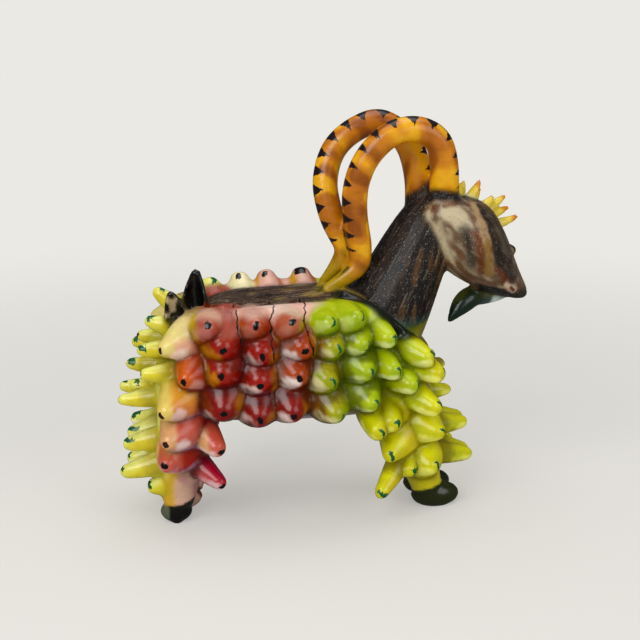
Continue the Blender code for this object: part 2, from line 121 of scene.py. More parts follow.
# Horns: coils that rise from the skull, arch back and run down to the withers.
# Each row is its share of the way back, of the height over the withers and of the spread.
HORN_THICKNESS = 15.4
HORN_SPREAD = 13
HORN_SINK = 13
HORN_ROOT_SWELL = 0.27
HORN_SWELL_END = 0.3
HORN_THIN_START = 0.72
HORN_THIN_LOSS = 0.62
HORN_THIN_POWER = 1.6
NEAR_HORN_ROOT = (-26.8, -1.4, 12.3)
NEAR_HORN_RISE = 39
NEAR_HORN_END = (0.61, -0.26, 1.0)
NEAR_HORN = (
    (0.007, 0.773, 0.62), (0.068, 0.928, 0.77), (0.257, 1.0, 0.92), (0.473, 0.969, 1.0),
    (0.655, 0.835, 1.0), (0.736, 0.68, 0.88), (0.75, 0.546, 0.77), (0.73, 0.402, 0.65),
    (0.689, 0.268, 0.58), (0.689, 0.144, 0.54), (0.838, 0.057, 0.62),
)
FAR_HORN_ROOT = (-27.0, 16.0, 16.1)
FAR_HORN_RISE = 42
FAR_HORN_END = (0.625, 0.15, 1.02)
FAR_HORN = (
    (0.033, 0.711, 0.77), (0.098, 0.835, 0.88), (0.23, 0.938, 1.0), (0.426, 1.0, 1.08),
    (0.639, 0.948, 1.08), (0.82, 0.866, 1.0), (0.918, 0.763, 0.92), (0.967, 0.629, 0.73),
    (0.951, 0.526, 0.58), (0.902, 0.402, 0.38), (0.836, 0.309, 0.23), (0.77, 0.206, 0.15),
    (0.885, 0.082, 0.23),
)

# Tail: two cupped petals, as root, middle and tip from the tail's place on the rump, and radius.
TAIL_PLACE = (0.11, -0.28, 0.73)
TAIL_PETALS = (
    ((0, 0, 4), (-1, 0, 23), (0, 0, 38), 8.6),
    ((-6, -2, 0), (-12, -3, 15), (-15, -3, 26), 8.6),
)
PETAL_TAPER = (0.8, 1.0, 0.4)
PETAL_OPENING = (-1.2, -3.4, 0.4)
PETAL_HOLLOW = 0.76
PETAL_HOLLOW_START = 0.75
PETAL_HOLLOW_END = 0.9

# Legs and hooves. The legs of a pair stand close together; the left rear foot stands a little ahead.
LEG_SPREAD = 22
HIP_SPREAD = 30
HIP_HEIGHT_SHARE = 0.45
ANKLE_HEIGHT = 12
ANKLE_THICKNESS = 19
LEG_TAPER = (2.5, 2.0, 1.45, 1.0)
FRONT_HIP = 0.88
FRONT_REACH = 25
FRONT_HOOF_HEEL = 3
FRONT_HOOF_TOE = 14
REAR_HIP = 0.09
REAR_REACH = -11
REAR_HOOF_HEEL = 4
REAR_HOOF_TOE = 2
FAR_REAR_STEP = 8
HOOF_HEIGHT = 15.5
HOOF_WIDTH = 18
HOOF_PROFILE = ((0.0, 0.8), (0.3, 1.0), (0.7, 1.0), (1.0, 0.8))

# Flank tufts in strips from rump to shoulder: shares of the trunk's length and height, top row first.
TUFT_LENGTH = 14
TUFT_SINK = 12
TUFT_THICKNESS = 31
TOP_TUFT_THICKNESS = 24
ROW_LIFT = (-9, 5, 6, 9)
STRIP_ROOT_SHIFT = (3, 1, -2, -4, -7)
STRIP_FULLNESS = (1.0, 0.98, 0.95, 0.88, 0.82)
FLANK_STRIPS = (
    ((0.13, 0.93), (0.18, 0.75), (0.18, 0.56), (0.18, 0.29)),
    ((0.31, 0.92), (0.33, 0.69), (0.32, 0.48), (0.32, 0.22)),
    ((0.45, 0.91), (0.49, 0.7), (0.47, 0.5), (0.45, 0.23)),
    ((0.59, 0.9), (0.61, 0.69), (0.59, 0.45), (0.62, 0.19)),
    ((0.7, 0.92), (0.72, 0.7), (0.74, 0.49), (0.76, 0.25)),
)

# Long fingers of both sides: root as shares of the trunk's length and height, then the run with Y outward.
SIDE_FINGER_THICKNESS = 21
SIDE_FINGER_ROOT = 0.53
SIDE_FINGERS = (
    (0.76, 0.8, (11, 27, -7)), (0.78, 0.56, (11, 27, -7)), (0.84, 0.43, (13, 26, -6)),
    (0.88, 0.62, (17, 24, -6)), (0.92, 0.5, (18, 23, -7)), (0.91, 0.28, (17, 26, -9)),
    (0.84, 0.21, (1, 26, -12)), (0.08, 0.16, (13, 26, -13)),
)
HAUNCH_TUFT_THICKNESS = 27
HAUNCH_TUFTS = (
    (0.15, 0.82, (-29, 20, -7)), (0.14, 0.61, (-16, 29, -6)),
    (0.09, 0.4, (-21, 28, -8)), (0.08, 0.18, (-18, 28, -8)),
)
RIGHT_SIDE_FINGERS = ((0.79, 0.16, (-1, 29, -11)),)

# Top row of the left flank, which stands up behind the back plate.
LEFT_TOP_ROOT = 0.66
LEFT_TOP_THICKNESS = 20.5
LEFT_TOP_FINGERS = (
    (0.2, 0.84, (-2, 9, 15)), (0.32, 0.85, (-1, 13, 15)), (0.43, 0.86, (-1, 13, 14.5)),
    (0.57, 0.86, (0, 13, 14.5)), (0.7, 0.83, (1, 16, 12)), (0.8, 0.75, (3, 22, 6)),
)

# Fingers of the rump and chest: root as shares of the trunk's length, half width and height, then the run.
END_FINGER_THICKNESS = 13.6
END_FINGERS = (
    ((0.08, 0.18, 0.87), (-18, 3, 13)), ((0.05, -0.24, 0.8), (-20, 2, 5)),
    ((0.05, 0.35, 0.67), (-24, 2, 1)), ((0.04, -0.35, 0.67), (-24, -2, 0)),
    ((0.04, 0.71, 0.58), (-25, 6, 0)), ((0.03, 0.18, 0.48), (-28, 2, 1)),
    ((0.04, -0.65, 0.53), (-23, -2, 0)), ((0.03, -0.18, 0.38), (-27, 0, 0)),
    ((0.03, -0.41, 0.33), (-34, 0, -2)), ((0.03, 0.47, 0.28), (-32, 2, 0)),
    ((0.99, 0.0, 0.42), (8, -1, 8)), ((0.99, -0.12, 0.32), (18, -2, 5)),
    ((0.97, 0.35, 0.32), (21, 4, 4)), ((1.0, 0.12, 0.13), (24, 1, -1)),
)

# Fingers of the legs: share of the way down the leg, then the run from its middle with Y outward.
LEG_FINGER_THICKNESS = 17
FRONT_LEG_FINGERS = ((0.5, (37, -8, -3)), (0.7, (36, -8, -8)))
RIGHT_FRONT_LEG_FINGERS = ((0.6, (-26, 27, -26)), (0.62, (-8, 22, -14)))
LEFT_FRONT_LEG_FINGERS = ((0.68, (30, 6, -7)),)
REAR_LEG_FINGERS = (
    (0.58, (20, 23, -15)), (0.62, (-36, -1, -9)), (0.81, (-19, -2, -5)), (0.42, (-36, -3, -8)),
)
LEFT_REAR_LEG_FINGERS = ((0.42, (-33, 13, -4)),)

# Blunt tufts on the outer sides of the legs, placed like the legs' fingers.
LEG_TUFT_THICKNESS = 26
FRONT_LEG_TUFTS = (
    (0.22, (-20, 30, -17)), (0.45, (-18, 29, -15)), (0.42, (16, 26, -5)), (0.72, (5, 23, -3)),
)
REAR_LEG_TUFTS = ((0.5, (-15, 31, -5)),)

# A finger's thickness along its length, for the pointed fingers and the blunt flank tufts.
POINTED = ((0.0, 1.0), (0.3, 1.0), (0.62, 0.82), (0.86, 0.62), (1.0, 0.5), (1.06, 0.25), (1.07, 0.0))
BLUNT = ((0.0, 1.12), (0.3, 1.08), (0.52, 0.96), (0.72, 0.7), (0.9, 0.44), (1.03, 0.26), (1.04, 0.0))
THIN = ((0.0, 1.0), (0.35, 0.85), (0.7, 0.65), (1.0, 0.35), (1.05, 0.0))
FINGER_SAG = 3.0

# Seeds of the blunt tufts of legs and haunches start here, above those of the fingers beside them.
LEG_TUFT_SEED = 10
HAUNCH_TUFT_SEED = 20

# Round nose at the ends of a rolled form: how far out its shoulder lies and how wide it is there.
NOSE_SHOULDER = 0.8
NOSE_SHOULDER_WIDTH = 0.6

# Camera: it looks the way the photograph does, in millimetres in the row frame.
CAMERA_TARGET = (-10.1, -3.4, 120.5)
CAMERA_AZIMUTH = -10.0
CAMERA_ELEVATION = 14.5
CAMERA_DISTANCE = 850
CAMERA_LENS = 78.75
SENSOR_WIDTH = 36

# Skin: the forms are fused in small cells and softened like wet clay.
CELL_SIZE = 1.49
SOFTEN_STEPS = 2
SOFTEN_FACTOR = 0.5
CUT_SNAP = 1e-7
TUBE_RESOLUTION = 6
TUBE_STEPS = 8
LINE_STEPS = 5


class Form:
    """One rolled or pinched piece of clay: its mesh, its middle line and what the painter needs to know."""

    def __init__(self, kind, points, radii, width=1.0, place=None, **facts):
        self.kind = kind
        self.width = width
        self.place = place or Matrix.Identity(4)
        self.facts = facts
        self.line, self.size = curve_samples([(p[0], p[1] / width, p[2]) for p in points], radii)
        self.mesh = tube_mesh(points, radii, width, self.place)


def curve_samples(points, radii):
    """Points and radii along the quadratic spline that the tube follows."""
    rows = np.array([(*point, radius) for point, radius in zip(points, radii)], dtype=float)
    joints = (rows[:-1] + rows[1:]) / 2
    joints[0] = rows[0]
    joints[-1] = rows[-1]
    samples = [rows[0]]
    for index in range(1, len(rows) - 1):
        start, middle, end = joints[index - 1], rows[index], joints[index]
        for step in range(1, LINE_STEPS + 1):
            t = step / LINE_STEPS
            samples.append((1 - t) ** 2 * start + 2 * t * (1 - t) * middle + t * t * end)
    samples = np.array(samples)
    return samples[:, :3], samples[:, 3]


def tube_mesh(points, radii, width, place):
    """Closed tube along the points, its Y size multiplied by width, then put in its place."""
    curve = bpy.data.curves.new("tube", "CURVE")
    curve.dimensions = "3D"
    curve.bevel_depth = 1.0
    curve.bevel_resolution = TUBE_RESOLUTION
    curve.use_fill_caps = True
    spline = curve.splines.new("NURBS")
    spline.points.add(len(points) - 1)
    for point, spot, radius in zip(spline.points, points, radii):
        point.co = (spot[0], spot[1] / width, spot[2], 1.0)
        point.radius = radius
    spline.order_u = 3
    spline.use_endpoint_u = True
    spline.resolution_u = TUBE_STEPS
    carrier = bpy.data.objects.new("tube", curve)
    mesh = bpy.data.meshes.new_from_object(carrier)
    bpy.data.objects.remove(carrier, do_unlink=True)
    mesh.transform(Matrix.Scale(MM, 4) @ place @ Matrix.Diagonal((1.0, width, 1.0, 1.0)))
    return mesh


def round_ends(points, radii):
    """The line and its radii with a round nose at both ends."""
    line = [Vector(point) for point in points]
    back = (line[0] - line[1]).normalized() * radii[0]
    ahead = (line[-1] - line[-2]).normalized() * radii[-1]
    first = [line[0] + back, line[0] + back * NOSE_SHOULDER]
    last = [line[-1] + ahead * NOSE_SHOULDER, line[-1] + ahead]
    sizes = [0.0, radii[0] * NOSE_SHOULDER_WIDTH] + list(radii) + [radii[-1] * NOSE_SHOULDER_WIDTH, 0.0]
    return first + line + last, sizes


def round_form(kind, points, radii, width=1.0, place=None, **facts):
    """Form with a round nose at both ends."""
    line, sizes = round_ends(points, radii)
    return Form(kind, line, sizes, width, place, **facts)


def finger(root, run, thickness, profile=POINTED, **facts):
    """One tuft from its root along its run, with a slight sag."""
    points = []
    sizes = []
    for along, size in profile:
        sag = FINGER_SAG * along * (1.0 - along)
        points.append(root + run * along - Vector((0, 0, sag)))
        sizes.append(thickness / 2 * size)
    facts.update(tip=root + run, axis=run.normalized(), radius=thickness / 2)
    return Form("finger", points, sizes, **facts)


def on_trunk(along, out, up):
    """Point at shares of the trunk's length, half width and height."""
    rise = BACK_RISE * (along - 0.5)
    return Vector((along * TRUNK_LENGTH, out * TRUNK_WIDTH / 2, BELLY_HEIGHT + rise + up * TRUNK_HEIGHT))


def neck_point(along):
    """Point on the middle line of the neck."""
    lean = math.radians(NECK_LEAN)
    side = math.radians(NECK_SIDE_LEAN)
    run = Vector((math.sin(lean), math.sin(side), math.cos(lean)))
    return on_trunk(*NECK_ROOT) + run * NECK_LENGTH * along


def head_turn():
    """Rotation from the head's own axes to the world's."""
    turn = Matrix.Rotation(math.radians(HEAD_TURN), 3, "Z")
    drop = Matrix.Rotation(math.radians(HEAD_DROP), 3, "Y")
    roll = Matrix.Rotation(math.radians(-HEAD_ROLL), 3, "X")
    return turn @ drop @ roll


def on_head(place):
    """World point of a place given in the head's own axes."""
    origin = neck_point(1.0) - head_turn() @ Vector(NECK_END_IN_HEAD)
    return origin + head_turn() @ Vector(place)


def leg_point(hip, reach, side, along, step):
    """Point on the middle line of a leg, from hip to ankle."""
    top = on_trunk(hip, 0.0, HIP_HEIGHT_SHARE)
    top.y = side * HIP_SPREAD / 2
    ankle = Vector((top.x + reach + step, side * LEG_SPREAD / 2, ANKLE_HEIGHT))
    return top.lerp(ankle, along)


def outward(run, side):
    """A run whose Y is measured away from the middle plane."""
    return Vector((run[0], side * run[1], run[2]))


def trunk():
    """Barrel of the body, the plate on its back and the rolls beside it."""
    line = [on_trunk(along, 0.0, 0.5) for along, size in TRUNK_PROFILE]
    sizes = [TRUNK_HEIGHT / 2 * size for along, size in TRUNK_PROFILE]
    barrel = round_form("trunk", line, sizes, TRUNK_WIDTH / TRUNK_HEIGHT)
    middle = 1.0 - PLATE_THICKNESS / 2 / TRUNK_HEIGHT
    plate_line = [on_trunk(along, 0.0, middle) for along, size in PLATE_PROFILE]
    plate_sizes = [PLATE_THICKNESS / 2 * size for along, size in PLATE_PROFILE]
    plate = Form("plate", plate_line, plate_sizes, PLATE_WIDTH / PLATE_THICKNESS)
    made = [barrel, plate]
    for side in (-1, 1):
        edge = [on_trunk(along, side * out, up) for along, out, up in ROLL]
        made.append(round_form("roll", edge, [ROLL_THICKNESS / 2] * len(edge), side=side))
    return made


def neck():
    """Cone of the neck and the rolled edge round its foot."""
    line = [neck_point(along) for along, size in NECK_TAPER]
    made = [round_form("neck", line, [NECK_THICKNESS / 2 * size for along, size in NECK_TAPER])]
    for side in (-1, 1):
        edge = [on_trunk(along, side * out, up) for along, out, up in COLLAR]
        made.append(round_form("collar", edge, [COLLAR_THICKNESS / 2] * len(edge), side=side))
    return made


def head():
    """Head and eyes, built along X and then turned."""
    line = []
    sizes = []
    for along, size, sag in HEAD_PROFILE:
        line.append((along * HEAD_LENGTH - SKULL_DEPTH, 0, -sag * JAW_SAG))
        sizes.append(HEAD_HEIGHT / 2 * size)
    place = Matrix.Translation(on_head((0, 0, 0))) @ head_turn().to_4x4()
    made = [round_form("head", line, sizes, HEAD_WIDTH / HEAD_HEIGHT, place)]
    for side in (-1, 1):
        centre = on_head((EYE_PLACE[0], side * EYE_PLACE[1], EYE_PLACE[2]))
        length = Vector((EYE_SIZE / 4, 0, 0))
        made.append(round_form("eye", (centre - length, centre + length), (EYE_SIZE / 2, EYE_SIZE / 2)))
    return made


def face_trim():
    """Beard leaf and forehead fringe."""
    made = [round_form("beard", [on_head(row[:3]) for row in BEARD], [row[3] for row in BEARD])]
    turn = head_turn()
    for index, (root, run) in enumerate(FRINGE):
        facts = {"scheme": "fringe", "seed": index}
        made.append(finger(on_head(root), turn @ Vector(run), FRINGE_THICKNESS, THIN, **facts))
    return made


def horn_size(along):
    """Share of the horn's full thickness: swollen at the skull, even, then thin toward the withers."""
    if along < HORN_SWELL_END:
        return 1.0 + HORN_ROOT_SWELL * (1.0 - along / HORN_SWELL_END)
    if along < HORN_THIN_START:
        return 1.0
    thinned = (along - HORN_THIN_START) / (1.0 - HORN_THIN_START)
    return 1.0 - HORN_THIN_LOSS * thinned ** HORN_THIN_POWER


def horn(root, rise, profile, end, side):
    """One coil from the skull to the withers."""
    base = on_head(root)
    foot = on_trunk(*end)
    crown = base.z + rise
    line = [base - Vector((0, 0, HORN_SINK)), base]
    for back, up, out in profile:
        x = base.x + back * (foot.x - base.x)
        z = foot.z + up * (crown - foot.z)
        line.append(Vector((x, side * out * HORN_SPREAD, z)))
    line.append(foot)
    last = len(line) - 1
    sizes = [HORN_THICKNESS / 2 * horn_size(index / last) for index in range(last + 1)]
    return round_form("horn", line, sizes, side=side)


def cut_out(body_mesh, hollow_mesh):
    """The body mesh with the hollow mesh taken away."""
    body = bpy.data.objects.new("petal", body_mesh)
    hollow = bpy.data.objects.new("petal_hollow", hollow_mesh)
    for thing in (body, hollow):
        bpy.context.scene.collection.objects.link(thing)
    boolean = body.modifiers.new("hollow", "BOOLEAN")
    boolean.operation = "DIFFERENCE"
    boolean.solver = "EXACT"
    boolean.object = hollow
    mesh = evaluated_mesh(body)
    for thing in (body, hollow):
        bpy.data.objects.remove(thing, do_unlink=True)
    return mesh


def tail():
    """Two cupped petals that stand on the rump."""
    place = on_trunk(*TAIL_PLACE)
    shift = Vector(PETAL_OPENING)
    made = []
    for index, (root, middle, tip, radius) in enumerate(TAIL_PETALS):
        line = [place + Vector(point) for point in (root, middle, tip)]
        sizes = [radius * share for share in PETAL_TAPER]
        low = line[1].lerp(line[0], PETAL_HOLLOW_START)
        high = line[1].lerp(line[2], PETAL_HOLLOW_END)
        inner = [low + shift, line[1] + shift, high + shift]
        petal = round_form("petal", line, sizes, seed=index)
        hollow = round_form("hollow", inner, [size * PETAL_HOLLOW for size in sizes])
        petal.facts["hollow"] = hollow
        petal.mesh = cut_out(petal.mesh, hollow.mesh)
        made.append(petal)
    return made


def leg(hip, reach, heel, toe, side, step, pair):
    """One leg with its hoof."""
    shares = [index / (len(LEG_TAPER) - 1) for index in range(len(LEG_TAPER))]
    line = [leg_point(hip, reach, side, along, step) for along in shares]
    shank = Form("shank", line, [ANKLE_THICKNESS / 2 * size for size in LEG_TAPER], side=side, pair=pair)
    ankle = line[-1]
    middle = HOOF_HEIGHT - HOOF_WIDTH / 2
    points = [(ankle.x - heel + along * (heel + toe), ankle.y, middle) for along, size in HOOF_PROFILE]
    sizes = [HOOF_WIDTH / 2 * size for along, size in HOOF_PROFILE]
    return [shank, round_form("hoof", points, sizes, side=side, pair=pair)]


def leg_fingers(hip, reach, side, step, fingers, tufts, pair):
    """Pointed fingers and blunt tufts that stand out from one leg."""
    kinds = ((fingers, LEG_FINGER_THICKNESS, POINTED, 0), (tufts, LEG_TUFT_THICKNESS, BLUNT, LEG_TUFT_SEED))
    made = []
    for rows, thickness, profile, first_seed in kinds:
        for index, (along, run) in enumerate(rows):
            root = leg_point(hip, reach, side, along, step)
            facts = {"scheme": pair, "side": side, "seed": first_seed + index}
            made.append(finger(root, outward(run, side), thickness, profile, **facts))
    return made


def legs():
    """Four legs with their fingers."""
    made = []
    for side in (-1, 1):
        step = FAR_REAR_STEP if side > 0 else 0
        front = FRONT_LEG_FINGERS + (LEFT_FRONT_LEG_FINGERS if side > 0 else RIGHT_FRONT_LEG_FINGERS)
        rear = REAR_LEG_FINGERS + (LEFT_REAR_LEG_FINGERS if side > 0 else ())
        made.extend(leg(FRONT_HIP, FRONT_REACH, FRONT_HOOF_HEEL, FRONT_HOOF_TOE, side, 0, "front_leg"))
        made.extend(leg(REAR_HIP, REAR_REACH, REAR_HOOF_HEEL, REAR_HOOF_TOE, side, step, "rear_leg"))
        made.extend(leg_fingers(FRONT_HIP, FRONT_REACH, side, 0, front, FRONT_LEG_TUFTS, "front_leg"))
        made.extend(leg_fingers(REAR_HIP, REAR_REACH, side, step, rear, REAR_LEG_TUFTS, "rear_leg"))
    return made


def flank_strip(column, strip, side, root_shift, fullness):
    """One strip of flank tufts; the left flank's top row is built by itself."""
    made = []
    for row, (along, up) in enumerate(strip):
        if side > 0 and row == 0:
            continue
        tip = on_trunk(along, side, up) + Vector((0, side * TUFT_LENGTH, 0))
        root = on_trunk(along, side, up) + Vector((root_shift, -side * TUFT_SINK, ROW_LIFT[row]))
        thickness = TUFT_THICKNESS * fullness if row else TOP_TUFT_THICKNESS
        facts = {"side": side, "column": column, "row": row, "seed": column * len(strip) + row}
        made.append(finger(root, tip - root, thickness, BLUNT, scheme="flank", **facts))
    return made


def trunk_fingers():
    """Tufts and fingers that stand on the trunk."""
    made = []
    for side in (-1, 1):
        for column, strip in enumerate(FLANK_STRIPS):
            made.extend(flank_strip(column, strip, side, STRIP_ROOT_SHIFT[column], STRIP_FULLNESS[column]))
        fingers = SIDE_FINGERS + (RIGHT_SIDE_FINGERS if side < 0 else ())
        for index, (along, up, run) in enumerate(fingers):
            root = on_trunk(along, side * SIDE_FINGER_ROOT, up)
            facts = {"scheme": "shoulder" if along > 0.5 else "haunch", "side": side, "seed": index}
            made.append(finger(root, outward(run, side), SIDE_FINGER_THICKNESS, **facts))
        for index, (along, up, run) in enumerate(HAUNCH_TUFTS):
            root = on_trunk(along, side * SIDE_FINGER_ROOT, up)
            facts = {"scheme": "haunch", "side": side, "seed": HAUNCH_TUFT_SEED + index}
            made.append(finger(root, outward(run, side), HAUNCH_TUFT_THICKNESS, BLUNT, **facts))
    for index, (along, up, run) in enumerate(LEFT_TOP_FINGERS):
        root = on_trunk(along, LEFT_TOP_ROOT, up)
        made.append(finger(root, Vector(run), LEFT_TOP_THICKNESS, scheme="left_top", side=1, seed=index))
    for index, (root, run) in enumerate(END_FINGERS):
        facts = {"scheme": "chest" if root[0] > 0.5 else "rump", "side": 0, "seed": index}
        made.append(finger(on_trunk(*root), Vector(run), END_FINGER_THICKNESS, **facts))
    return made


def all_forms():
    """Every form of the goat; they overlap each other."""
    made = trunk() + neck() + head() + face_trim() + tail() + legs() + trunk_fingers()
    made.append(horn(NEAR_HORN_ROOT, NEAR_HORN_RISE, NEAR_HORN, NEAR_HORN_END, -1))
    made.append(horn(FAR_HORN_ROOT, FAR_HORN_RISE, FAR_HORN, FAR_HORN_END, 1))
    return made


def joined(meshes):
    """One mesh that holds every form."""
    shell = bmesh.new()
    for mesh in meshes:
        shell.from_mesh(mesh)
    mesh = bpy.data.meshes.new("forms")
    shell.to_mesh(mesh)
    shell.free()
    return mesh


def evaluated_mesh(thing):
    """The mesh of an object with its modifiers applied."""
    graph = bpy.context.evaluated_depsgraph_get()
    return bpy.data.meshes.new_from_object(thing.evaluated_get(graph))


def fused_skin(thing):
    """Melt the overlapping forms into one closed skin with soft joins."""
    remesh = thing.modifiers.new("fuse", "REMESH")
    remesh.mode = "VOXEL"
    remesh.voxel_size = CELL_SIZE * MM
    smooth = thing.modifiers.new("soften", "SMOOTH")
    smooth.factor = SOFTEN_FACTOR
    smooth.iterations = SOFTEN_STEPS
    skin = evaluated_mesh(thing)
    thing.modifiers.clear()
    return skin


def stand_flat(mesh):
    """Cut the hooves level at z = 0 and close the cuts."""
    skin = bmesh.new()
    skin.from_mesh(mesh)
    everything = skin.verts[:] + skin.edges[:] + skin.faces[:]
    floor = {"plane_co": (0, 0, 0), "plane_no": (0, 0, -1)}
    bmesh.ops.bisect_plane(skin, geom=everything, dist=CUT_SNAP, clear_outer=True, **floor)
    open_edges = [edge for edge in skin.edges if edge.is_boundary]
    bmesh.ops.holes_fill(skin, edges=open_edges)
    bmesh.ops.triangulate(skin, faces=skin.faces[:])
    bmesh.ops.recalc_face_normals(skin, faces=skin.faces[:])
    skin.to_mesh(mesh)
    skin.free()


def vertex_places(mesh):
    """Places of the vertices as rows."""
    flat = np.empty(len(mesh.vertices) * 3)
    mesh.vertices.foreach_get("co", flat)
    return flat.reshape(-1, 3)


def seat_in_frame(mesh):
    """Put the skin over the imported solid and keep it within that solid's box."""
    spots = vertex_places(mesh)
    low = np.array(FRAME_LOW)
    high = np.array(FRAME_HIGH)
    shift = (low + high) / 2 - (spots.min(axis=0) + spots.max(axis=0)) / 2
    shift[2] = low[2] - spots[:, 2].min()
    moved = np.clip(spots + shift, low, high)
    mesh.vertices.foreach_set("co", moved.ravel())
    mesh.update()


# Glaze colours, written as sRGB. A palette gives the washes of one kind of tuft or region of the coat.
# The last wash of each palette is painted shade with dark pooled glaze, laid at tuft roots, in crevices and
# under the belly.
WASHES = ("top", "middle", "light", "under", "front", "rear", "deep_shade")
# On the lime, turning, gold and lemon palettes the top wash is lighter and the under wash darker, painted
# light and shade; on the red palettes they are the tufts' own colours.
PALETTES = {
    "pink_yellow": ("dcb09a", "a85a50", "c88c86", "9c3a28", "a0402c", "ccb238", "54160e"),
    "pink_orange": ("dcb0a0", "a4503e", "c89088", "a05418", "943420", "b4602e", "48100c"),
    "pink_lime": ("dcc0a8", "ac6450", "d0a090", "b04a24", "b8a83c", "b45c48", "5c1410"),
    "pink_top": ("dcae9e", "b86c60", "d8a498", "7c2228", "c06c20", "cc9a2c", "3c0c10"),
    "amber_red": ("8c2c1a", "942e2a", "c88430", "8c4044", "8c2420", "d4921a", "3a0a08"),
    "brick": ("84241a", "962c28", "e8d2cc", "946078", "c47a22", "80221c", "360806"),
    "white_side": ("983c24", "a44e36", "f2e4de", "8c4634", "b09c1c", "d4ac9a", "3c0e08"),
    "deep_red": ("8a2218", "7c1a18", "e0c6c0", "7c4454", "ae6a18", "9c4420", "340706"),
    "turning": ("a8a030", "929c12", "e0d8a4", "62720a", "90ac12", "a8562a", "3a260a"),
    "lime": ("b4c636", "94ab10", "dce6a0", "587608", "9cb616", "b0ba28", "36440a"),
    "pink_haunch": ("e0cc90", "dca88e", "f0d8c6", "a4452c", "94301c", "dcd080", "541408"),
    "brick_haunch": ("a04026", "ac4834", "d8a498", "7c3444", "8c2818", "c4643c", "3c0c08"),
    "cream_top": ("eae0b4", "e4d8a0", "f0ecd0", "b09c50", "d8c880", "e4deac", "6c5c24"),
    "orange_haunch": ("d89c50", "cf8654", "eaccc8", "c4a6b6", "a83424", "e0cc78", "4c120a"),
    "rose_haunch": ("bc5c50", "c26a5e", "eed8d6", "caa8c0", "9c2822", "dcae80", "4c0c10"),
    "crimson": ("9c2a3a", "ac3e42", "dcb4b8", "78345c", "7c101c", "b45a5a", "34060c"),
    "gold": ("dad828", "c6c210", "f2f084", "949208", "d0bc0e", "b8c01c", "746606"),
    "lemon": ("e6e68c", "e0de70", "f8f4d8", "d0cc60", "dccc50", "e2e284", "a89c3c"),
    "pale_coat": ("dcb0a0", "c07a6c", "ead4c8", "84301f", "c47a34", "d0a848", "3c0e0a"),
}
FLANK_PAINT = (
    ("pink_yellow", "amber_red", "amber_red", "deep_red"), ("pink_orange", "brick", "brick", "deep_red"),
    ("pink_lime", "white_side", "white_side", "deep_red"), ("lime", "turning", "turning", "turning"),
    ("lime", "lime", "lime", "lime"),
)
HAUNCH_PAINT = ("pink_haunch", "brick_haunch", "orange_haunch", "rose_haunch")
LEFT_TOP_PAINT = ("lemon", "cream_top", "pink_top", "pink_top", "lime", "lime")
INKS = {"black": "0d0b0c", "green": "0f5a2e", "brown": "35180f", "horn": "1e0f12", "none": "5a5a5a"}
PLAIN = {
    "plate": "44362e", "plate_streak": "a08a74", "plate_tan": "8a7640", "plate_slate": "565c68",
    "neck": "120c0a", "neck_streak": "5c3e1e", "neck_painted_sheen": "28323f", "neck_umber": "2f1d10",
    "chest_teal": "214844", "collar": "0e1410", "collar_edge": "8fa094",
    "cheek": "6c5644", "cheek_cream": "c4b698", "cheek_rust": "643216", "cheek_tan": "a48866",
    "cheek_gold": "8c6c3e", "brow": "261d17", "brow_grey": "5a5846", "jaw": "120c0a",
    "nose": "dcc0a8", "nostril": "5c1c10", "skull": "1d191a", "skull_slate": "3c4452", "eye": "0c090a",
    "horn": "cc7e08", "horn_light": "eaac1c", "horn_shade": "843e02", "horn_foot": "a08c18",
    # The collar is partly painted shade in the seam under the neck's rim; its pale edge is partly a painted
    # highlight.
    "horn_amber": "ae6002",
    "beard": "14261c", "beard_edge": "54581a", "beard_band": "264044", "beard_root": "c0d4d6",
    "petal": "101a14", "petal_hollow_shade": "060708", "petal_cream": "d2bd98", "petal_brown": "2c1f18",
    "hoof_black": "0b0909", "hoof_olive": "24290f", "hoof_red": "5c2618", "hoof_grey": "5c6450",
    "fringe": "e4cc62", "fringe_root": "e2e2bc", "fringe_tip": "cf7c1e",
    "belly": "a8a0b0", "shank_rear": "d8b0a0", "shank_mauve": "a8707c", "shank_front": "ccc028",
    "shank_gold": "d8ac44",
    "crack": "1a0f08", "fibre_dark": "0d0908", "painted_glint": "cfc9bd",
}

# How the forms' paints meet, in millimetres: reach and softness of the blend, width of a crevice, and how
# far beyond its reach a form is read.
BLEND_REACH = 5.0
BLEND_SOFTNESS = 0.55
CREVICE_WIDTH = 2.3
READ_MARGIN = 4.0
FAR_AWAY = 1e9
TINY = 1e-6

# Share of bark streaks on each kind of form.
STREAKS = {"plate": 1.0, "neck": 0.42, "head": 0.32, "horn": 0.1}

# How far the paint of a form or of a kind of finger reaches over its neighbours, in millimetres.
LEADS = {"collar": 4.5, "eye": 1.5, "head": 3.0, "neck": 3.5, "fringe": 5.0, "beard": 3.6}

# Drift of a hand-held brush: waves added together, how their lengths spread, usual length and gain.
WOBBLE_WAVES = 7
WOBBLE_SPREAD = (0.6, 1.5)
WOBBLE_LENGTH = 2.2
WOBBLE_GAIN = 1.6

# Borders between the regions of the coat, in millimetres: where a region's wash starts and where it covers.
# A slant is how far a border moves for each millimetre out from the middle plane.
REGION_DRIFT = 3.5
REGION_DRIFT_LENGTH = 16
LIME_BORDER = (78, 94)
LIME_LEFT_SLANT = 0.3
LEMON_BORDER = (8, 24)
LEMON_SLANT = 0.45
LEMON_LEFT_SLANT = 0.6
PALE_BORDER = (120, 129)
GOLD_LEG_BORDER = (92, 62)
GOLD_CHEST_BORDER = (138, 154)

# Layers of paint over a tuft's middle wash: strength, then the shares of four fields, and where the
# layer starts and covers. The fields are the place across and up the tip in radii, the brush's drift and
# its fine drift.
# The top and under layers carry painted light and shade on the lime, gold and lemon tufts, and the tufts'
# own colours on the red ones.
TUFT_LAYERS = {
    "top": (1.0, (0, 1, 1, 0), (0.0, 0.6)),
    "front": (0.9, (1, -0.25, -1, 0), (0.25, 0.75)),
    "rear": (0.85, (-1, -0.15, 1, 0), (0.32, 0.7)),
    "under": (0.85, (0, -1, 1, 1), (0.35, 0.8)),
}
TUFT_DRIFT = 0.25
TUFT_DRIFT_LENGTH = 7
FINE_DRIFT = 0.1
FINE_DRIFT_LENGTH = 2.6

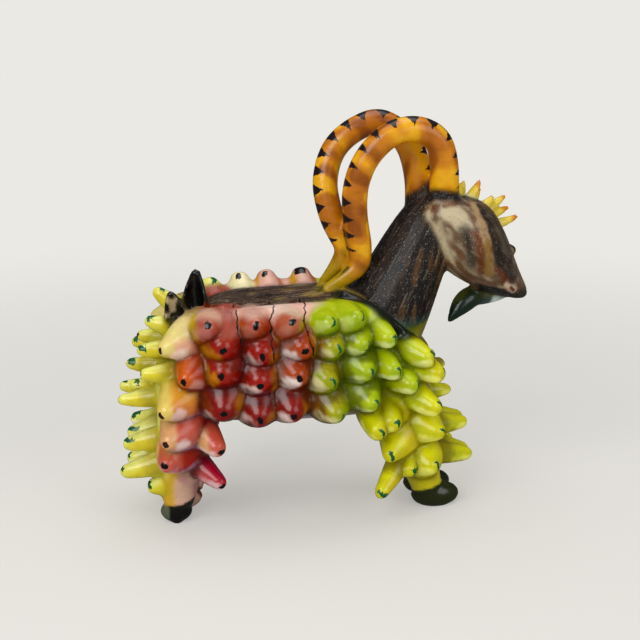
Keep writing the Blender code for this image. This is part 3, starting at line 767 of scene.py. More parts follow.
# Light patch low on the rear of a tuft, with places and sizes in radii.
PATCH_ACROSS = (-0.52, -0.25)
PATCH_HEIGHT = (-0.42, -0.18)
PATCH_FLATNESS = 1.3
PATCH_STRENGTH = (0.7, 1.0)
PATCH_EDGE = (0.5, 0.22)

# The flank's top row is painted more evenly than the rest.
TOP_ROW_PATCH = 0.4
TOP_ROW_ROOT = 0.15

# Painted shade and dark pooled glaze at a tuft's root, by the depth under the tip in radii.
ROOT_STRENGTH = 0.75
FLANK_ROOT_EDGE = (0.66, 1.1)
ROOT_EDGE = (1.5, 2.6)

# The red columns of the flank come first, counted from the rump; the others are lime. On the red ones the
# pink of the top row runs down over the shoulders of the row below, between these heights.
RED_COLUMNS = 3
PINK_SHOULDER = (121, 127)
PINK_SHOULDER_STRENGTH = 0.6
PINK_SHOULDER_DRIFT = 6

# A rear leg's finger whose tip stands further forward than this is crimson.
CRIMSON_START = 12

# A finger within this of upright takes the way back to the rump as its upward direction.
UPRIGHT_LIMIT = 0.2

# Tip marks: their styles, how chance moves, turns and stretches them, how far down a tuft they reach in
# radii, and which places along the body and which rump fingers have black and brown dots.
STYLE_NONE, STYLE_DOT, STYLE_ARC, STYLE_HORN = 0.0, 1.0, 2.0, 3.0
MARK_SHIFT = 0.8
MARK_TURN = 30
MARK_STRETCH = (0.85, 1.25)
MARK_REACH = 1.1
LEFT_TOP_DOTS = (35, 95)
BLACK_MARK_START = 3
BROWN_RUMP_MARKS = (2, 6, 8)

# Tip marks of the left top row are drawn as the camera sees them, some millimetres under the tip. The one
# nearest the horns is a cap of twice the size.
LEFT_TOP_MARK_DROP = 1.2
LEFT_TOP_CAP_SEED = 3
LEFT_TOP_CAP_SPREAD = 0.45
HORN_MARK_START = 24

# Painted areas of the cheek, in millimetres right and up from the head's origin in the plane that faces
# the camera: colour, two ends of the stroke, half width at each end, softness and strength.
CHEEK_STROKES = (
    ("cheek_cream", (-9, 10), (0, 3), 6.0, 5.0, 4.0, 0.9),
    ("cheek_cream", (-17, -3), (-8, -20), 6.0, 4.0, 5.0, 0.8),
    ("cheek_rust", (-12, 13), (-5, 15), 1.6, 1.6, 2.0, 0.8),
    ("cheek_rust", (-15, -19), (3, -30), 2.0, 1.6, 3.0, 0.85),
    ("brow", (1, -2), (6, -19), 3.4, 3.8, 5.0, 0.8),
    ("cheek_rust", (8, -3), (14, -24), 2.6, 3.6, 3.0, 0.9),
    ("brow", (16, 10), (33, -27), 4.5, 6.0, 5.0, 0.85),
    ("brow", (10, 14), (24, -19), 2.2, 3.8, 2.5, 0.95),
    ("cheek_tan", (5.5, 17), (15, -9), 1.8, 3.0, 1.4, 0.95),
    ("cheek_gold", (15, -9), (18, -26), 2.6, 3.4, 2.0, 0.9),
    ("brow_grey", (22, 0), (28, -13), 1.8, 1.6, 3.0, 0.7),
    ("cheek_rust", (23, -24), (31, -30), 2.2, 2.2, 2.5, 0.85),
    ("brow", (34, -38), (44, -40), 3.5, 6.0, 4.0, 0.9),
    ("nose", (31, -33), (37, -36), 1.8, 2.8, 2.0, 0.9),
    ("nostril", (34.5, -34.5), (37, -36), 1.3, 1.6, 1.2, 0.95),
    ("jaw", (-13, -27.5), (5, -33), 1.4, 2.2, 1.2, 1.0),
    ("jaw", (5, -33), (21, -37), 2.2, 3.2, 1.2, 1.0),
    ("jaw", (21, -37), (40, -43), 3.2, 5.0, 1.2, 1.0),
)
CROWN_EDGE = (14.5, 17.5)
NAPE_EDGE = (20, 24)

# Horn: broad and fine golden flow along it, then a greener foot with olive streaks near its end.
HORN_BROAD_LENGTH = 11
HORN_FINE_LENGTH = 4.2
HORN_FOOT_EDGE = (-36, -10)
HORN_OLIVE_EDGE = (-32, -24)

# Plate: place along the body ahead of which it turns tan, and its slate edge away from the camera.
PLATE_TAN_START = 80
PLATE_SLATE_EDGE = (12, 22)

# Neck: where its brown front edge and its painted slate sheen behind lie along the body at one level, and
# its teal foot.
NECK_LEVEL = 150
NECK_FRONT_EDGE = (138, 150)
NECK_FRONT_SLOPE = 0.3
NECK_BACK = 112
NECK_BACK_SLOPE = 0.45
TEAL_HEIGHT = (127, 118)
TEAL_START = 126

# Tail petals: height of the cream at the root.
PETAL_CREAM_HEIGHT = 16
PETAL_CREAM_SLOPE = 0.4

# Legs and belly: heights between which the coat's dark wash as painted shade under the belly, the rump's
# colour, the front legs' yellow and the belly's mauve come in.
SHANK_DEEP_HEIGHT = (45, 62)
SHANK_RUMP_HEIGHT = (26, 36)
SHANK_YELLOW_HEIGHT = (70, 40)
BELLY_EDGE = (68, 62)

# Height of the border between hoof and leg at the ankle, in millimetres, and how much it climbs forward.
HOOF_LINE = 13.5
HOOF_LINE_SLOPE = 0.28
FRONT_ANKLE = FRONT_HIP * TRUNK_LENGTH + FRONT_REACH
REAR_ANKLE = REAR_HIP * TRUNK_LENGTH + REAR_REACH

# Firing cracks between the right flank's columns, from low to high: places along the body and heights.
CRACKS = (
    ((39, 119), (37, 126.6), (38, 136.6)), ((58, 108), (56.4, 118.3), (56.2, 131.5), (59.4, 138.4)),
    ((81.3, 109.6), (77.2, 124.5), (75.5, 131.5), (77.5, 139.3)),
)
CRACK_REACH = 4.0
CRACK_DRIFT = 0.8
CRACK_SIDE = (16, 20)

# Painted shade in the crevices of the coat, over glaze that pools dark there, laid less on its pale top.
CREVICE_SHADE_STRENGTH = 0.8
PALE_TOP_RELIEF = 0.6
PALE_TOP_EDGE = (126, 132)


def linear(colour):
    """Linear RGBA of an sRGB colour written in hex."""
    parts = [int(colour[i:i + 2], 16) / 255 for i in (0, 2, 4)]
    return tuple(c / 12.92 if c <= 0.04045 else ((c + 0.055) / 1.055) ** 2.4 for c in parts) + (1.0,)


def colour_row(colour):
    """Linear RGB of an sRGB hex colour, as a row."""
    return np.array(linear(colour)[:3])


def tone(name):
    """Linear RGB of a plain colour of the list, as a row."""
    return colour_row(PLAIN[name])


def plain_rows(name, many):
    """One plain colour on many rows."""
    return np.tile(tone(name), (many, 1))


def ramp(value, low, high):
    """Smooth step from 0 at low to 1 at high, which may be the lower of the two."""
    share = np.clip((value - low) / (high - low), 0.0, 1.0)
    return share * share * (3.0 - 2.0 * share)


def wash(under, over, amount):
    """Lay one colour over another by an amount for each row."""
    return under + (over - under) * np.broadcast_to(amount, len(under))[:, None]


def wobble(spots, length, seed):
    """Smooth random value around zero for each place, changing over about this length in millimetres."""
    chance = np.random.default_rng(seed)
    total = np.zeros(len(spots))
    for _ in range(WOBBLE_WAVES):
        turn = chance.normal(size=3)
        wave = length * WOBBLE_LENGTH / chance.uniform(*WOBBLE_SPREAD)
        turn *= 2 * math.pi / wave / np.linalg.norm(turn)
        total += np.sin(spots @ turn + chance.uniform(0, 2 * math.pi))
    return total / WOBBLE_WAVES * WOBBLE_GAIN


def read_form(form, spots):
    """The places near a form, with their gap to its surface, way along it and offset from its line."""
    back = np.array(form.place.inverted())
    local = spots @ back[:3, :3].T + back[:3, 3]
    local[:, 1] /= form.width
    reach = form.size.max() + BLEND_REACH + READ_MARGIN
    inside = (local > form.line.min(axis=0) - reach) & (local < form.line.max(axis=0) + reach)
    near = np.flatnonzero(inside.all(axis=1))
    query = local[near]
    gap = np.full(len(near), FAR_AWAY)
    along = np.zeros(len(near))
    foot = np.zeros((len(near), 3))
    run = 0.0
    for index in range(len(form.line) - 1):
        start = form.line[index]
        step = form.line[index + 1] - start
        length = np.linalg.norm(step)
        if length < TINY:
            continue
        share = np.clip((query - start) @ step / length ** 2, 0.0, 1.0)
        point = start + share[:, None] * step
        size = form.size[index] + share * (form.size[index + 1] - form.size[index])
        distance = np.linalg.norm(query - point, axis=1) - size
        closer = distance < gap
        gap = np.where(closer, distance, gap)
        along = np.where(closer, run + share * length, along)
        foot[closer] = point[closer]
        run += length
    return {"form": form, "near": near, "gap": gap, "along": along, "length": run, "offset": query - foot}


def palette_rows(name):
    """Linear colours of one palette by wash name."""
    return {key: colour_row(code) for key, code in zip(WASHES, PALETTES[name])}


def region_washes(spots):
    """Washes of the coat at each place: lemon rump, red flank, lime shoulder and gold legs and chest."""
    drift = wobble(spots, REGION_DRIFT_LENGTH, seed=11) * REGION_DRIFT
    x = spots[:, 0] + drift
    z = spots[:, 2] + drift
    left = np.maximum(spots[:, 1], 0.0)
    ahead = ramp(x - left * LIME_LEFT_SLANT, *LIME_BORDER)
    rear = 1.0 - ramp(x + np.abs(spots[:, 1]) * LEMON_SLANT - left * LEMON_LEFT_SLANT, *LEMON_BORDER)
    pale = ramp(z, *PALE_BORDER) * (1.0 - ahead) * (1.0 - rear)
    gold = ahead * np.maximum(ramp(z, *GOLD_LEG_BORDER), ramp(x, *GOLD_CHEST_BORDER))
    shares = {"lemon": rear, "pale_coat": pale, "lime": ahead - gold, "gold": gold}
    shares["deep_red"] = 1.0 - rear - pale - ahead
    mixed = {}
    for name in WASHES:
        total = np.zeros((len(spots), 3))
        for palette, share in shares.items():
            total += np.clip(share, 0, 1)[:, None] * palette_rows(palette)[name]
        mixed[name] = total
    return mixed


def tuft_palette(facts):
    """Name of a tuft's own palette, or None where it takes the colours of its place on the coat."""
    scheme = facts["scheme"]
    if scheme == "flank":
        return FLANK_PAINT[facts["column"]][facts["row"]]
    if scheme == "left_top":
        return LEFT_TOP_PAINT[facts["seed"]]
    if scheme == "haunch":
        tuft = facts["seed"] - HAUNCH_TUFT_SEED
        return HAUNCH_PAINT[tuft] if tuft >= 0 else "rose_haunch"
    if scheme == "rear_leg" and facts["tip"][0] > CRIMSON_START:
        return "crimson"
    if scheme == "rear_leg" and facts["seed"] >= LEG_TUFT_SEED:
        return "rose_haunch"
    return None


def tuft_washes(facts, spots):
    """Washes of one tuft: its own palette where it has one, else those of its place on the coat."""
    name = tuft_palette(facts)
    if name is None:
        return region_washes(spots)
    return {key: np.tile(row, (len(spots), 1)) for key, row in palette_rows(name).items()}


def finger_axes(form):
    """Right-hand and upward directions across a finger, seen by someone facing its tip."""
    axis = np.array(form.facts["axis"])
    up = np.array((0.0, 0.0, 1.0)) - axis * axis[2]
    if np.linalg.norm(up) < UPRIGHT_LIMIT:
        up = np.array((-1.0, 0.0, 0.0)) + axis * axis[0]
    up /= np.linalg.norm(up)
    return np.cross(up, axis), up


def tip_places(form, here):
    """Places across a finger, counted forward on a flank, and up it from the tip, in radii."""
    facts = form.facts
    right, up = finger_axes(form)
    radius = facts["radius"]
    tip = np.array(facts["tip"])
    height = (here - tip) @ up / radius
    if facts["scheme"] == "haunch" and facts["axis"][0] < 0:
        return (here[:, 0] - tip[0]) / radius - 1.0, height
    side = facts.get("side", 0)
    return (here - tip) @ right / radius * (-side if side else 1), height


def paint_fringe(share, shift):
    """Finger of the forehead: pale root, yellow middle and orange tip."""
    made = wash(plain_rows("fringe_root", len(share)), tone("fringe"), ramp(share, 0.1, 0.45))
    return wash(made, tone("fringe_tip"), ramp(share + shift, 0.62, 0.98))


def paint_finger(reading, spots):
    """Washes of one tuft: top, middle, light patch, underside and sides, then painted shade at the root."""
    form = reading["form"]
    facts = form.facts
    scheme = facts["scheme"]
    here = spots[reading["near"]]
    seed = facts["seed"] * 7 + facts.get("side", 0) + len(scheme)
    shift = wobble(here, TUFT_DRIFT_LENGTH, seed) * TUFT_DRIFT
    if scheme == "fringe":
        return paint_fringe(reading["along"] / reading["length"], shift)
    chance = np.random.default_rng(seed)
    fine = wobble(here, FINE_DRIFT_LENGTH, seed + 5) * FINE_DRIFT
    across, height = tip_places(form, here)
    fields = np.array((across, height, shift, fine))
    colours = tuft_washes(facts, here)
    made = colours["middle"]
    for name, (strength, shares, border) in TUFT_LAYERS.items():
        made = wash(made, colours[name], strength * ramp(np.array(shares) @ fields, *border))
    top_row = scheme == "flank" and facts["row"] == 0
    away = across - chance.uniform(*PATCH_ACROSS)
    rise = (height - chance.uniform(*PATCH_HEIGHT)) * PATCH_FLATNESS
    light = chance.uniform(*PATCH_STRENGTH) * (TOP_ROW_PATCH if top_row else 1.0)
    patch = np.hypot(away, rise) + shift * 0.7 + fine
    made = wash(made, colours["light"], light * ramp(patch, *PATCH_EDGE))
    # Painted shade at the root, where the tufts meet.
    depth = (reading["length"] - reading["along"]) / facts["radius"] + shift + fine
    root = ramp(depth, *(FLANK_ROOT_EDGE if scheme == "flank" else ROOT_EDGE))
    made = wash(made, colours["deep_shade"], (TOP_ROW_ROOT if top_row else ROOT_STRENGTH) * root)
    if scheme == "flank" and facts["column"] < RED_COLUMNS and not top_row:
        shoulder = ramp(here[:, 2] + shift * PINK_SHOULDER_DRIFT, *PINK_SHOULDER)
        made = wash(made, palette_rows("pink_top")["middle"], PINK_SHOULDER_STRENGTH * shoulder)
    return made


def mark_style(facts):
    """Kind, ink and turn of a tuft's painted tip mark."""
    scheme = facts["scheme"]
    x = facts["tip"][0]
    if scheme == "flank":
        return (STYLE_DOT, "black", 20) if facts["column"] < RED_COLUMNS else (STYLE_ARC, "green", 0)
    if scheme == "left_top":
        low, high = LEFT_TOP_DOTS
        return (STYLE_DOT, "black", 0) if low < x < high else (STYLE_ARC, "green", 0)
    if scheme == "haunch":
        return (STYLE_DOT, "black" if x > BLACK_MARK_START else "brown", 0)
    if scheme == "rear_leg":
        dotted = x > CRIMSON_START or facts["seed"] >= LEG_TUFT_SEED
        return (STYLE_DOT, "black", 0) if dotted else (STYLE_ARC, "green", 90)
    if scheme == "rump":
        return (STYLE_DOT, "brown", 0) if facts["seed"] in BROWN_RUMP_MARKS else (STYLE_ARC, "green", 90)
    if scheme == "chest":
        return (STYLE_DOT, "green", 0)
    return (STYLE_NONE, "green", 0) if scheme == "fringe" else (STYLE_ARC, "green", 20)


def finger_stamp(reading, spots):
    """Places relative to the tip mark and its style."""
    form = reading["form"]
    facts = form.facts
    here = spots[reading["near"]]
    right, up = finger_axes(form)
    tip = np.array(facts["tip"])
    chance = np.random.default_rng(facts["seed"] * 13 + len(facts["scheme"]) + 3)
    across = (here - tip) @ right - chance.uniform(-MARK_SHIFT, MARK_SHIFT)
    height = (here - tip) @ up - chance.uniform(-MARK_SHIFT, MARK_SHIFT)
    style, ink, turn = mark_style(facts)
    turn = math.radians(turn + chance.uniform(-MARK_TURN, MARK_TURN))
    stretch = chance.uniform(*MARK_STRETCH)
    spread = 1.0
    if facts["scheme"] == "left_top":
        across, height = (seen - place for seen, place in zip(view_plane(here), view_plane(tip)))
        height += LEFT_TOP_MARK_DROP
        spread = LEFT_TOP_CAP_SPREAD if facts["seed"] == LEFT_TOP_CAP_SEED else 1.0
    first = (across * math.cos(turn) + height * math.sin(turn)) * stretch * spread
    second = (-across * math.sin(turn) + height * math.cos(turn)) / stretch * spread
    kind = np.where(reading["along"] < reading["length"] - facts["radius"] * MARK_REACH, STYLE_NONE, style)
    return np.column_stack((first, second, kind)), colour_row(INKS[ink])


def view_plane(points):
    """Right and up places of points in the plane that faces the photograph's camera."""
    turn = math.radians(CAMERA_AZIMUTH)
    rise = math.radians(CAMERA_ELEVATION)
    right = np.array((math.cos(turn), math.sin(turn), 0.0))
    up = np.array((-math.sin(turn) * math.sin(rise), math.cos(turn) * math.sin(rise), math.cos(rise)))
    return points @ right, points @ up


def stroke(across, height, start, end, first, last):
    """How far inside a brush stroke each place is, in millimetres."""
    start = np.array(start, dtype=float)
    step = np.array(end, dtype=float) - start
    share = np.clip(((across - start[0]) * step[0] + (height - start[1]) * step[1]) / (step @ step), 0, 1)
    away = np.hypot(across - start[0] - share * step[0], height - start[1] - share * step[1])
    return first + share * (last - first) - away


def head_local(spots):
    """Places in the head's own axes."""
    return (spots - np.array(on_head((0, 0, 0)))) @ np.array(head_turn())


def paint_head(reading, spots):
    """Cheek washes, drawn on the plane that faces the camera and repeated on the other side."""
    local = head_local(spots[reading["near"]])
    local[:, 1] = -np.abs(local[:, 1])
    across, height = view_plane(local @ np.array(head_turn()).T)
    drift = wobble(local, 8, seed=5) * 1.2
    grain = wobble(local * (0.22, 1, 1), 2.6, seed=6)
    made = wash(plain_rows("cheek", len(local)), tone("cheek_cream"), 0.4 * ramp(grain, 0.0, 0.7))
    made = wash(made, tone("cheek_rust"), 0.6 * ramp(grain, 0.0, -0.7))
    for name, start, end, first, last, soft, strength in CHEEK_STROKES:
        inside = stroke(across, height, start, end, first, last)
        inside += drift * min(1.0, soft / 3) + grain * soft * 0.22
        made = wash(made, tone(name), strength * ramp(inside, -soft / 2, soft / 2))
    crown = wash(plain_rows("skull", len(local)), tone("skull_slate"), ramp(grain, 0.1, 0.7))
    top = ramp(height + drift * 2 + np.abs(across) * 0.05, *CROWN_EDGE)
    nape = ramp(drift - across, *NAPE_EDGE)
    return wash(made, crown, np.maximum(top, nape * 0.8))


def paint_horn(reading, spots):
    """Golden horn with lighter and darker lengthwise flow and a greener foot."""
    here = spots[reading["near"]]
    along = reading["along"]
    upright = here[:, 2] * 0.5 + here[:, 0] * 0.5
    grain = wobble(np.column_stack((along * 0.35, here[:, 1], upright)), HORN_FINE_LENGTH, seed=31)
    broad = wobble(np.column_stack((along * 0.6, here[:, 1], along * 0)), HORN_BROAD_LENGTH, seed=32)
    past_end = along - reading["length"]
    made = wash(plain_rows("horn", len(here)), tone("horn_amber"), 0.8 * ramp(broad, -0.1, 0.5))
    made = wash(made, tone("horn_light"), 0.9 * ramp(grain - broad * 0.4, 0.1, 0.65))
    made = wash(made, tone("horn_shade"), 0.8 * ramp(grain, -0.1, -0.7))
    made = wash(made, tone("horn_foot"), 0.8 * ramp(past_end, *HORN_FOOT_EDGE))
    olive = ramp(past_end, *HORN_OLIVE_EDGE) * ramp(grain + broad * 0.3, 0.25, 0.5)
    return wash(made, tone("hoof_olive"), 0.85 * olive)


def horn_stamp(reading, spots):
    """Distance along the horn and across it from its outer ridge."""
    form = reading["form"]
    offset = reading["offset"]
    away = spots[reading["near"]] - offset - form.line.mean(axis=0)
    away[:, 1] = 0.0
    away /= np.maximum(np.linalg.norm(away, axis=1), TINY)[:, None]
    offset = offset / np.maximum(np.linalg.norm(offset, axis=1), TINY)[:, None]
    across = np.arccos(np.clip((offset * away).sum(axis=1), -1, 1)) * HORN_THICKNESS / 2
    kind = np.where(reading["along"] < HORN_MARK_START, STYLE_NONE, STYLE_HORN)
    return np.column_stack((reading["along"], across, kind)), colour_row(INKS["horn"])


def paint_plate(reading, here):
    """Bark plate: dark brown with an olive-tan patch in front and a slate edge away from the camera."""
    drift = wobble(here * (0.4, 1, 1), 5, seed=41)
    tan = ramp(drift + (here[:, 0] - PLATE_TAN_START) * 0.02, 0.1, 0.7)
    made = wash(plain_rows("plate", len(here)), tone("plate_tan"), 0.75 * tan)
    made = wash(made, tone("plate_slate"), 0.7 * ramp(here[:, 1] + drift * 4, *PLATE_SLATE_EDGE))
    return wash(made, tone("neck"), 0.7 * ramp(drift, -0.2, -0.8))


def paint_neck(reading, here):
    """Near-black neck: umber blotches, brown front edge, painted slate sheen behind and teal at the chest.
    """
    x, z = here[:, 0], here[:, 2]
    drift = wobble(here, 8, seed=7)
    blotch = wobble(grain_rows(reading["form"], here) * (0.3, 1, 1), 2.8, seed=8)
    umber = ramp((drift + blotch) * 0.6, 0.1, 0.8)
    made = wash(plain_rows("neck", len(here)), tone("neck_umber"), 0.7 * umber)
    edge = ramp(x + (NECK_LEVEL - z) * NECK_FRONT_SLOPE + blotch * 3, *NECK_FRONT_EDGE)
    made = wash(made, tone("neck_streak"), 0.7 * edge * ramp(blotch - drift * 0.3, 0.0, 0.4))
    # Painted reflection: a slate sheen on the back of the neck.
    behind = NECK_BACK + (z - NECK_LEVEL) * NECK_BACK_SLOPE - x
    made = wash(made, tone("neck_painted_sheen"), 0.5 * ramp(behind + drift * 3, -2, 5))
    low = ramp(z + drift * 3, *TEAL_HEIGHT)
    return wash(made, tone("chest_teal"), 0.9 * low * ramp(x - TEAL_START + drift * 4, 0, 8))


def paint_petal(reading, here):
    """Dark tail petals, each with its own rim and an inside darkened as painted shade in the hollow."""
    form = reading["form"]
    many = len(here)
    hollow = read_form(form.facts["hollow"], here)
    depth = np.full(many, FAR_AWAY)
    depth[hollow["near"]] = hollow["gap"]
    first = form.facts["seed"] == 0
    drift = wobble(here, 6, seed=9)
    base = np.array(form.line[0])
    border = base[2] + PETAL_CREAM_HEIGHT + (here[:, 0] - base[0]) * PETAL_CREAM_SLOPE
    low = border - here[:, 2] + drift * 3
    made = plain_rows("petal" if first else "petal_brown", many)
    made = wash(made, tone("petal_cream"), 0.85 * ramp(low, 0, 5))
    # Painted shade: the hollow of the cup is darker still.
    inside = plain_rows("petal_hollow_shade", many)
    if not first:
        inside = wash(inside, tone("petal_cream"), 0.7 * ramp(wobble(here, 4, seed=12), 0.3, 0.55))
    return wash(made, inside, ramp(depth, 1.2, 0.4))


def hoof_rows(facts, here):
    """Glossy hoof: olive in front, black behind with a grey heel, reddish brown on the far side."""
    if facts["pair"] == "front_leg":
        return plain_rows("hoof_olive", len(here))
    if facts["side"] > 0:
        patches = ramp(wobble(here, 5, seed=13), 0.0, 0.5)
        return wash(plain_rows("hoof_red", len(here)), tone("shank_rear"), 0.7 * patches)
    heel = ramp(REAR_ANKLE - here[:, 0], 5, 6.5)
    return wash(plain_rows("hoof_black", len(here)), tone("hoof_grey"), 0.85 * heel)


def shank_rows(facts, here):
    """Leg surface between the tufts: pink and mauve behind, yellow in front, painted shade high up under
    the belly.
    """
    washes = region_washes(here)
    drift = wobble(here, 6, seed=3)
    x, z = here[:, 0], here[:, 2]
    if facts["pair"] == "front_leg":
        made = wash(washes["middle"], tone("shank_front"), 0.8 * ramp(z, *SHANK_YELLOW_HEIGHT))
        return wash(made, washes["deep_shade"], 0.5 * ramp(drift + (z - SHANK_DEEP_HEIGHT[0]) * 0.02, 0.0, 0.6))
    made = wash(plain_rows("shank_rear", len(here)), tone("shank_mauve"), 0.7 * ramp(drift, -0.1, 0.5))
    made = wash(made, tone("shank_gold"), 0.9 * ramp(REAR_ANKLE - x + drift * 2, 0, 4))
    made = wash(made, washes["deep_shade"], 0.7 * ramp(z, *SHANK_DEEP_HEIGHT))
    return wash(made, washes["rear"], ramp(z, *SHANK_RUMP_HEIGHT) * ramp(drift * 3 - x, 1, 7))


def paint_leg(reading, here):
    """A leg down to the border with its hoof, and the hoof below."""
    facts = reading["form"].facts
    ankle = FRONT_ANKLE if facts["pair"] == "front_leg" else REAR_ANKLE
    border = HOOF_LINE + (here[:, 0] - ankle) * HOOF_LINE_SLOPE + wobble(here, 5, seed=19) * 0.7
    return wash(shank_rows(facts, here), hoof_rows(facts, here), ramp(border - here[:, 2], -0.6, 0.6))


def paint_beard(reading, here):
    """Beard leaf: pale root, slate band, dark green blade with an olive upper edge."""
    share = reading["along"] / reading["length"]
    made = wash(plain_rows("beard_root", len(here)), tone("beard_band"), ramp(share, 0.36, 0.42))
    made = wash(made, tone("beard"), ramp(share + wobble(here, 5, seed=17) * 0.04, 0.46, 0.56))
    edge = (reading["offset"][:, 2] - reading["offset"][:, 0]) * 0.7
    return wash(made, tone("beard_edge"), 0.85 * ramp(share, 0.4, 0.5) * ramp(edge, 3.5, 6.5))


def paint_trunk(reading, here):
    """Barrel between the tufts, where shade falls: the coat's under wash with patches of its dark wash as
    painted shade, mauve-grey under the belly.
    """
    washes = region_washes(here)
    made = wash(washes["under"], washes["deep_shade"], 0.85 * ramp(wobble(here, 9, seed=3), -0.9, 0.0))
    return wash(made, tone("belly"), ramp(here[:, 2], *BELLY_EDGE))


def paint_roll(reading, here):
    """Roll of clay beside the plate, in the coat's top colours."""
    washes = region_washes(here)
    return wash(washes["top"], washes["light"], 0.6 * ramp(wobble(here, 7, seed=4), -0.2, 0.5))


def paint_collar(reading, here):
    """Dark collar, partly dark glaze and partly painted shade in the seam under the neck's rim, with a
    paler upper edge of bare glaze and painted highlight.
    """
    edge = ramp(reading["offset"][:, 2], 2.2, 3.2)
    return wash(plain_rows("collar", len(here)), tone("collar_edge"), 0.8 * edge)


PLAIN_PAINTERS = {
    "trunk": paint_trunk, "roll": paint_roll, "plate": paint_plate, "collar": paint_collar,
    "neck": paint_neck, "petal": paint_petal, "hoof": paint_leg, "shank": paint_leg, "beard": paint_beard,
}
PAINTERS = {"finger": paint_finger, "head": paint_head, "horn": paint_horn}


def paint_plain(reading, spots):
    """Colours of the pieces that carry no tuft; an eye is one plain colour."""
    kind = reading["form"].kind
    here = spots[reading["near"]]
    if kind in PLAIN_PAINTERS:
        return PLAIN_PAINTERS[kind](reading, here)
    return plain_rows(kind, len(here))


def grain_rows(form, here):
    """Places in which the fibres of a form run along the first axis, in millimetres."""
    if form.kind == "head":
        return head_local(here)
    if form.kind == "neck":
        foot = np.array(neck_point(0.0))
        run = np.array(neck_point(1.0)) - foot
        run /= np.linalg.norm(run)
        along = (here - foot) @ run
        offset = here - foot - along[:, None] * run
        ahead = np.cross((0.0, 1.0, 0.0), run)
        around = np.arctan2(offset @ ahead, -offset[:, 1]) * NECK_THICKNESS / 2
        return np.column_stack((along, around, np.zeros(len(here))))
    return here


def crack_rows(spots):
    """Distance ahead of the nearest firing crack, and 1 where that crack runs past the place."""
    ahead = np.full(len(spots), CRACK_REACH)
    runs = np.zeros(len(spots))
    drift = wobble(spots, 3, seed=21) * CRACK_DRIFT
    for crack in CRACKS:
        places, heights = zip(*crack)
        low, high = heights[0], heights[-1]
        away = spots[:, 0] + drift - np.interp(spots[:, 2], heights, places)
        here = ramp(spots[:, 2], low - 1, low + 1) * ramp(spots[:, 2], high + 1, high - 1)
        here *= ramp(np.abs(away), CRACK_REACH, CRACK_REACH - 1) * ramp(-spots[:, 1], *CRACK_SIDE)
        nearer = here > runs
        ahead = np.where(nearer, away, ahead)
        runs = np.where(nearer, here, runs)
    return np.column_stack((ahead, runs, np.zeros(len(spots))))


def nearest_gaps(readings, many):
    """Gaps of each place to the nearest form and to the next one."""
    best = np.full(many, FAR_AWAY)
    second = np.full(many, FAR_AWAY)
    for reading in readings:
        near, gap = reading["near"], reading["gap"]
        closer = gap < best[near]
        # A hoof runs on from its leg, so no crevice lies between them.
        if reading["form"].kind != "hoof":
            second[near] = np.where(closer, best[near], np.minimum(second[near], gap))
        best[near] = np.where(closer, gap, best[near])
    return best, second


def paint_forms(readings, best, spots):
    """Blend the forms' paints, and take each place's mark, ink and grain from its nearest form."""
    many = len(spots)
    paint = {"glaze": np.zeros((many, 3)), "ink": np.tile(colour_row(INKS["none"]), (many, 1))}
    paint.update(stamp=np.zeros((many, 3)), grain=spots.copy(), streak=np.zeros(many))
    weight = np.zeros(many)
    for reading in readings:
        close = reading["gap"] < best[reading["near"]] + BLEND_REACH
        for key in ("near", "gap", "along", "offset"):
            reading[key] = reading[key][close]
        near = reading["near"]
        if not len(near):
            continue
        form = reading["form"]
        share = np.exp((best[near] - reading["gap"]) / BLEND_SOFTNESS)
        paint["glaze"][near] += PAINTERS.get(form.kind, paint_plain)(reading, spots) * share[:, None]
        paint["streak"][near] += share * STREAKS.get(form.kind, 0.0)
        weight[near] += share
        owner = reading["gap"] <= best[near]
        if form.kind in ("finger", "horn"):
            marks, colour = (finger_stamp if form.kind == "finger" else horn_stamp)(reading, spots)
            paint["stamp"][near[owner]] = marks[owner]
            paint["ink"][near[owner]] = colour
        paint["grain"][near[owner]] = grain_rows(form, spots[near[owner]])
    paint["glaze"] /= weight[:, None]
    paint["streak"] /= weight
    return paint


def paint_skin(mesh, forms, spots):
    """Store the painter's colours and guides on the skin's points."""
    readings = [read_form(form, spots) for form in forms]
    for reading in readings:
        form = reading["form"]
        reading["gap"] = reading["gap"] - LEADS.get(form.facts.get("scheme", form.kind), 0.0)
    best, second = nearest_gaps(readings, len(spots))
    paint = paint_forms(readings, best, spots)
    # Painted shade: places between two forms are washed toward the coat's dark wash, which also stands for
    # glaze pooled there.
    crevice = np.exp(-np.maximum(second - best, 0.0) / CREVICE_WIDTH)
    coat = 1.0 - np.clip(paint["streak"] * 3, 0, 1)
    top_band = ramp(spots[:, 2] + wobble(spots, 9, seed=44) * 2, *PALE_TOP_EDGE)
    crevice_shade = (CREVICE_SHADE_STRENGTH - PALE_TOP_RELIEF * top_band) * crevice * coat
    store(mesh, "glaze", wash(paint["glaze"], region_washes(spots)["deep_shade"], crevice_shade), "FLOAT_COLOR")
    store(mesh, "ink", paint["ink"], "FLOAT_COLOR")
    store(mesh, "stamp", paint["stamp"], "FLOAT_VECTOR")
    store(mesh, "grain", paint["grain"], "FLOAT_VECTOR")
    store(mesh, "crack", crack_rows(spots), "FLOAT_VECTOR")
    store(mesh, "streak", paint["streak"], "FLOAT")
    store(mesh, "crevice", crevice, "FLOAT")


def store(mesh, name, rows, kind):
    """Point attribute that the material reads: a colour, a vector or a value."""
    if kind == "FLOAT_COLOR":
        rows = np.column_stack((rows, np.ones(len(rows))))
    field = {"FLOAT_COLOR": "color", "FLOAT_VECTOR": "vector", "FLOAT": "value"}[kind]
    mesh.attributes.new(name, kind, "POINT").data.foreach_set(field, rows.ravel())


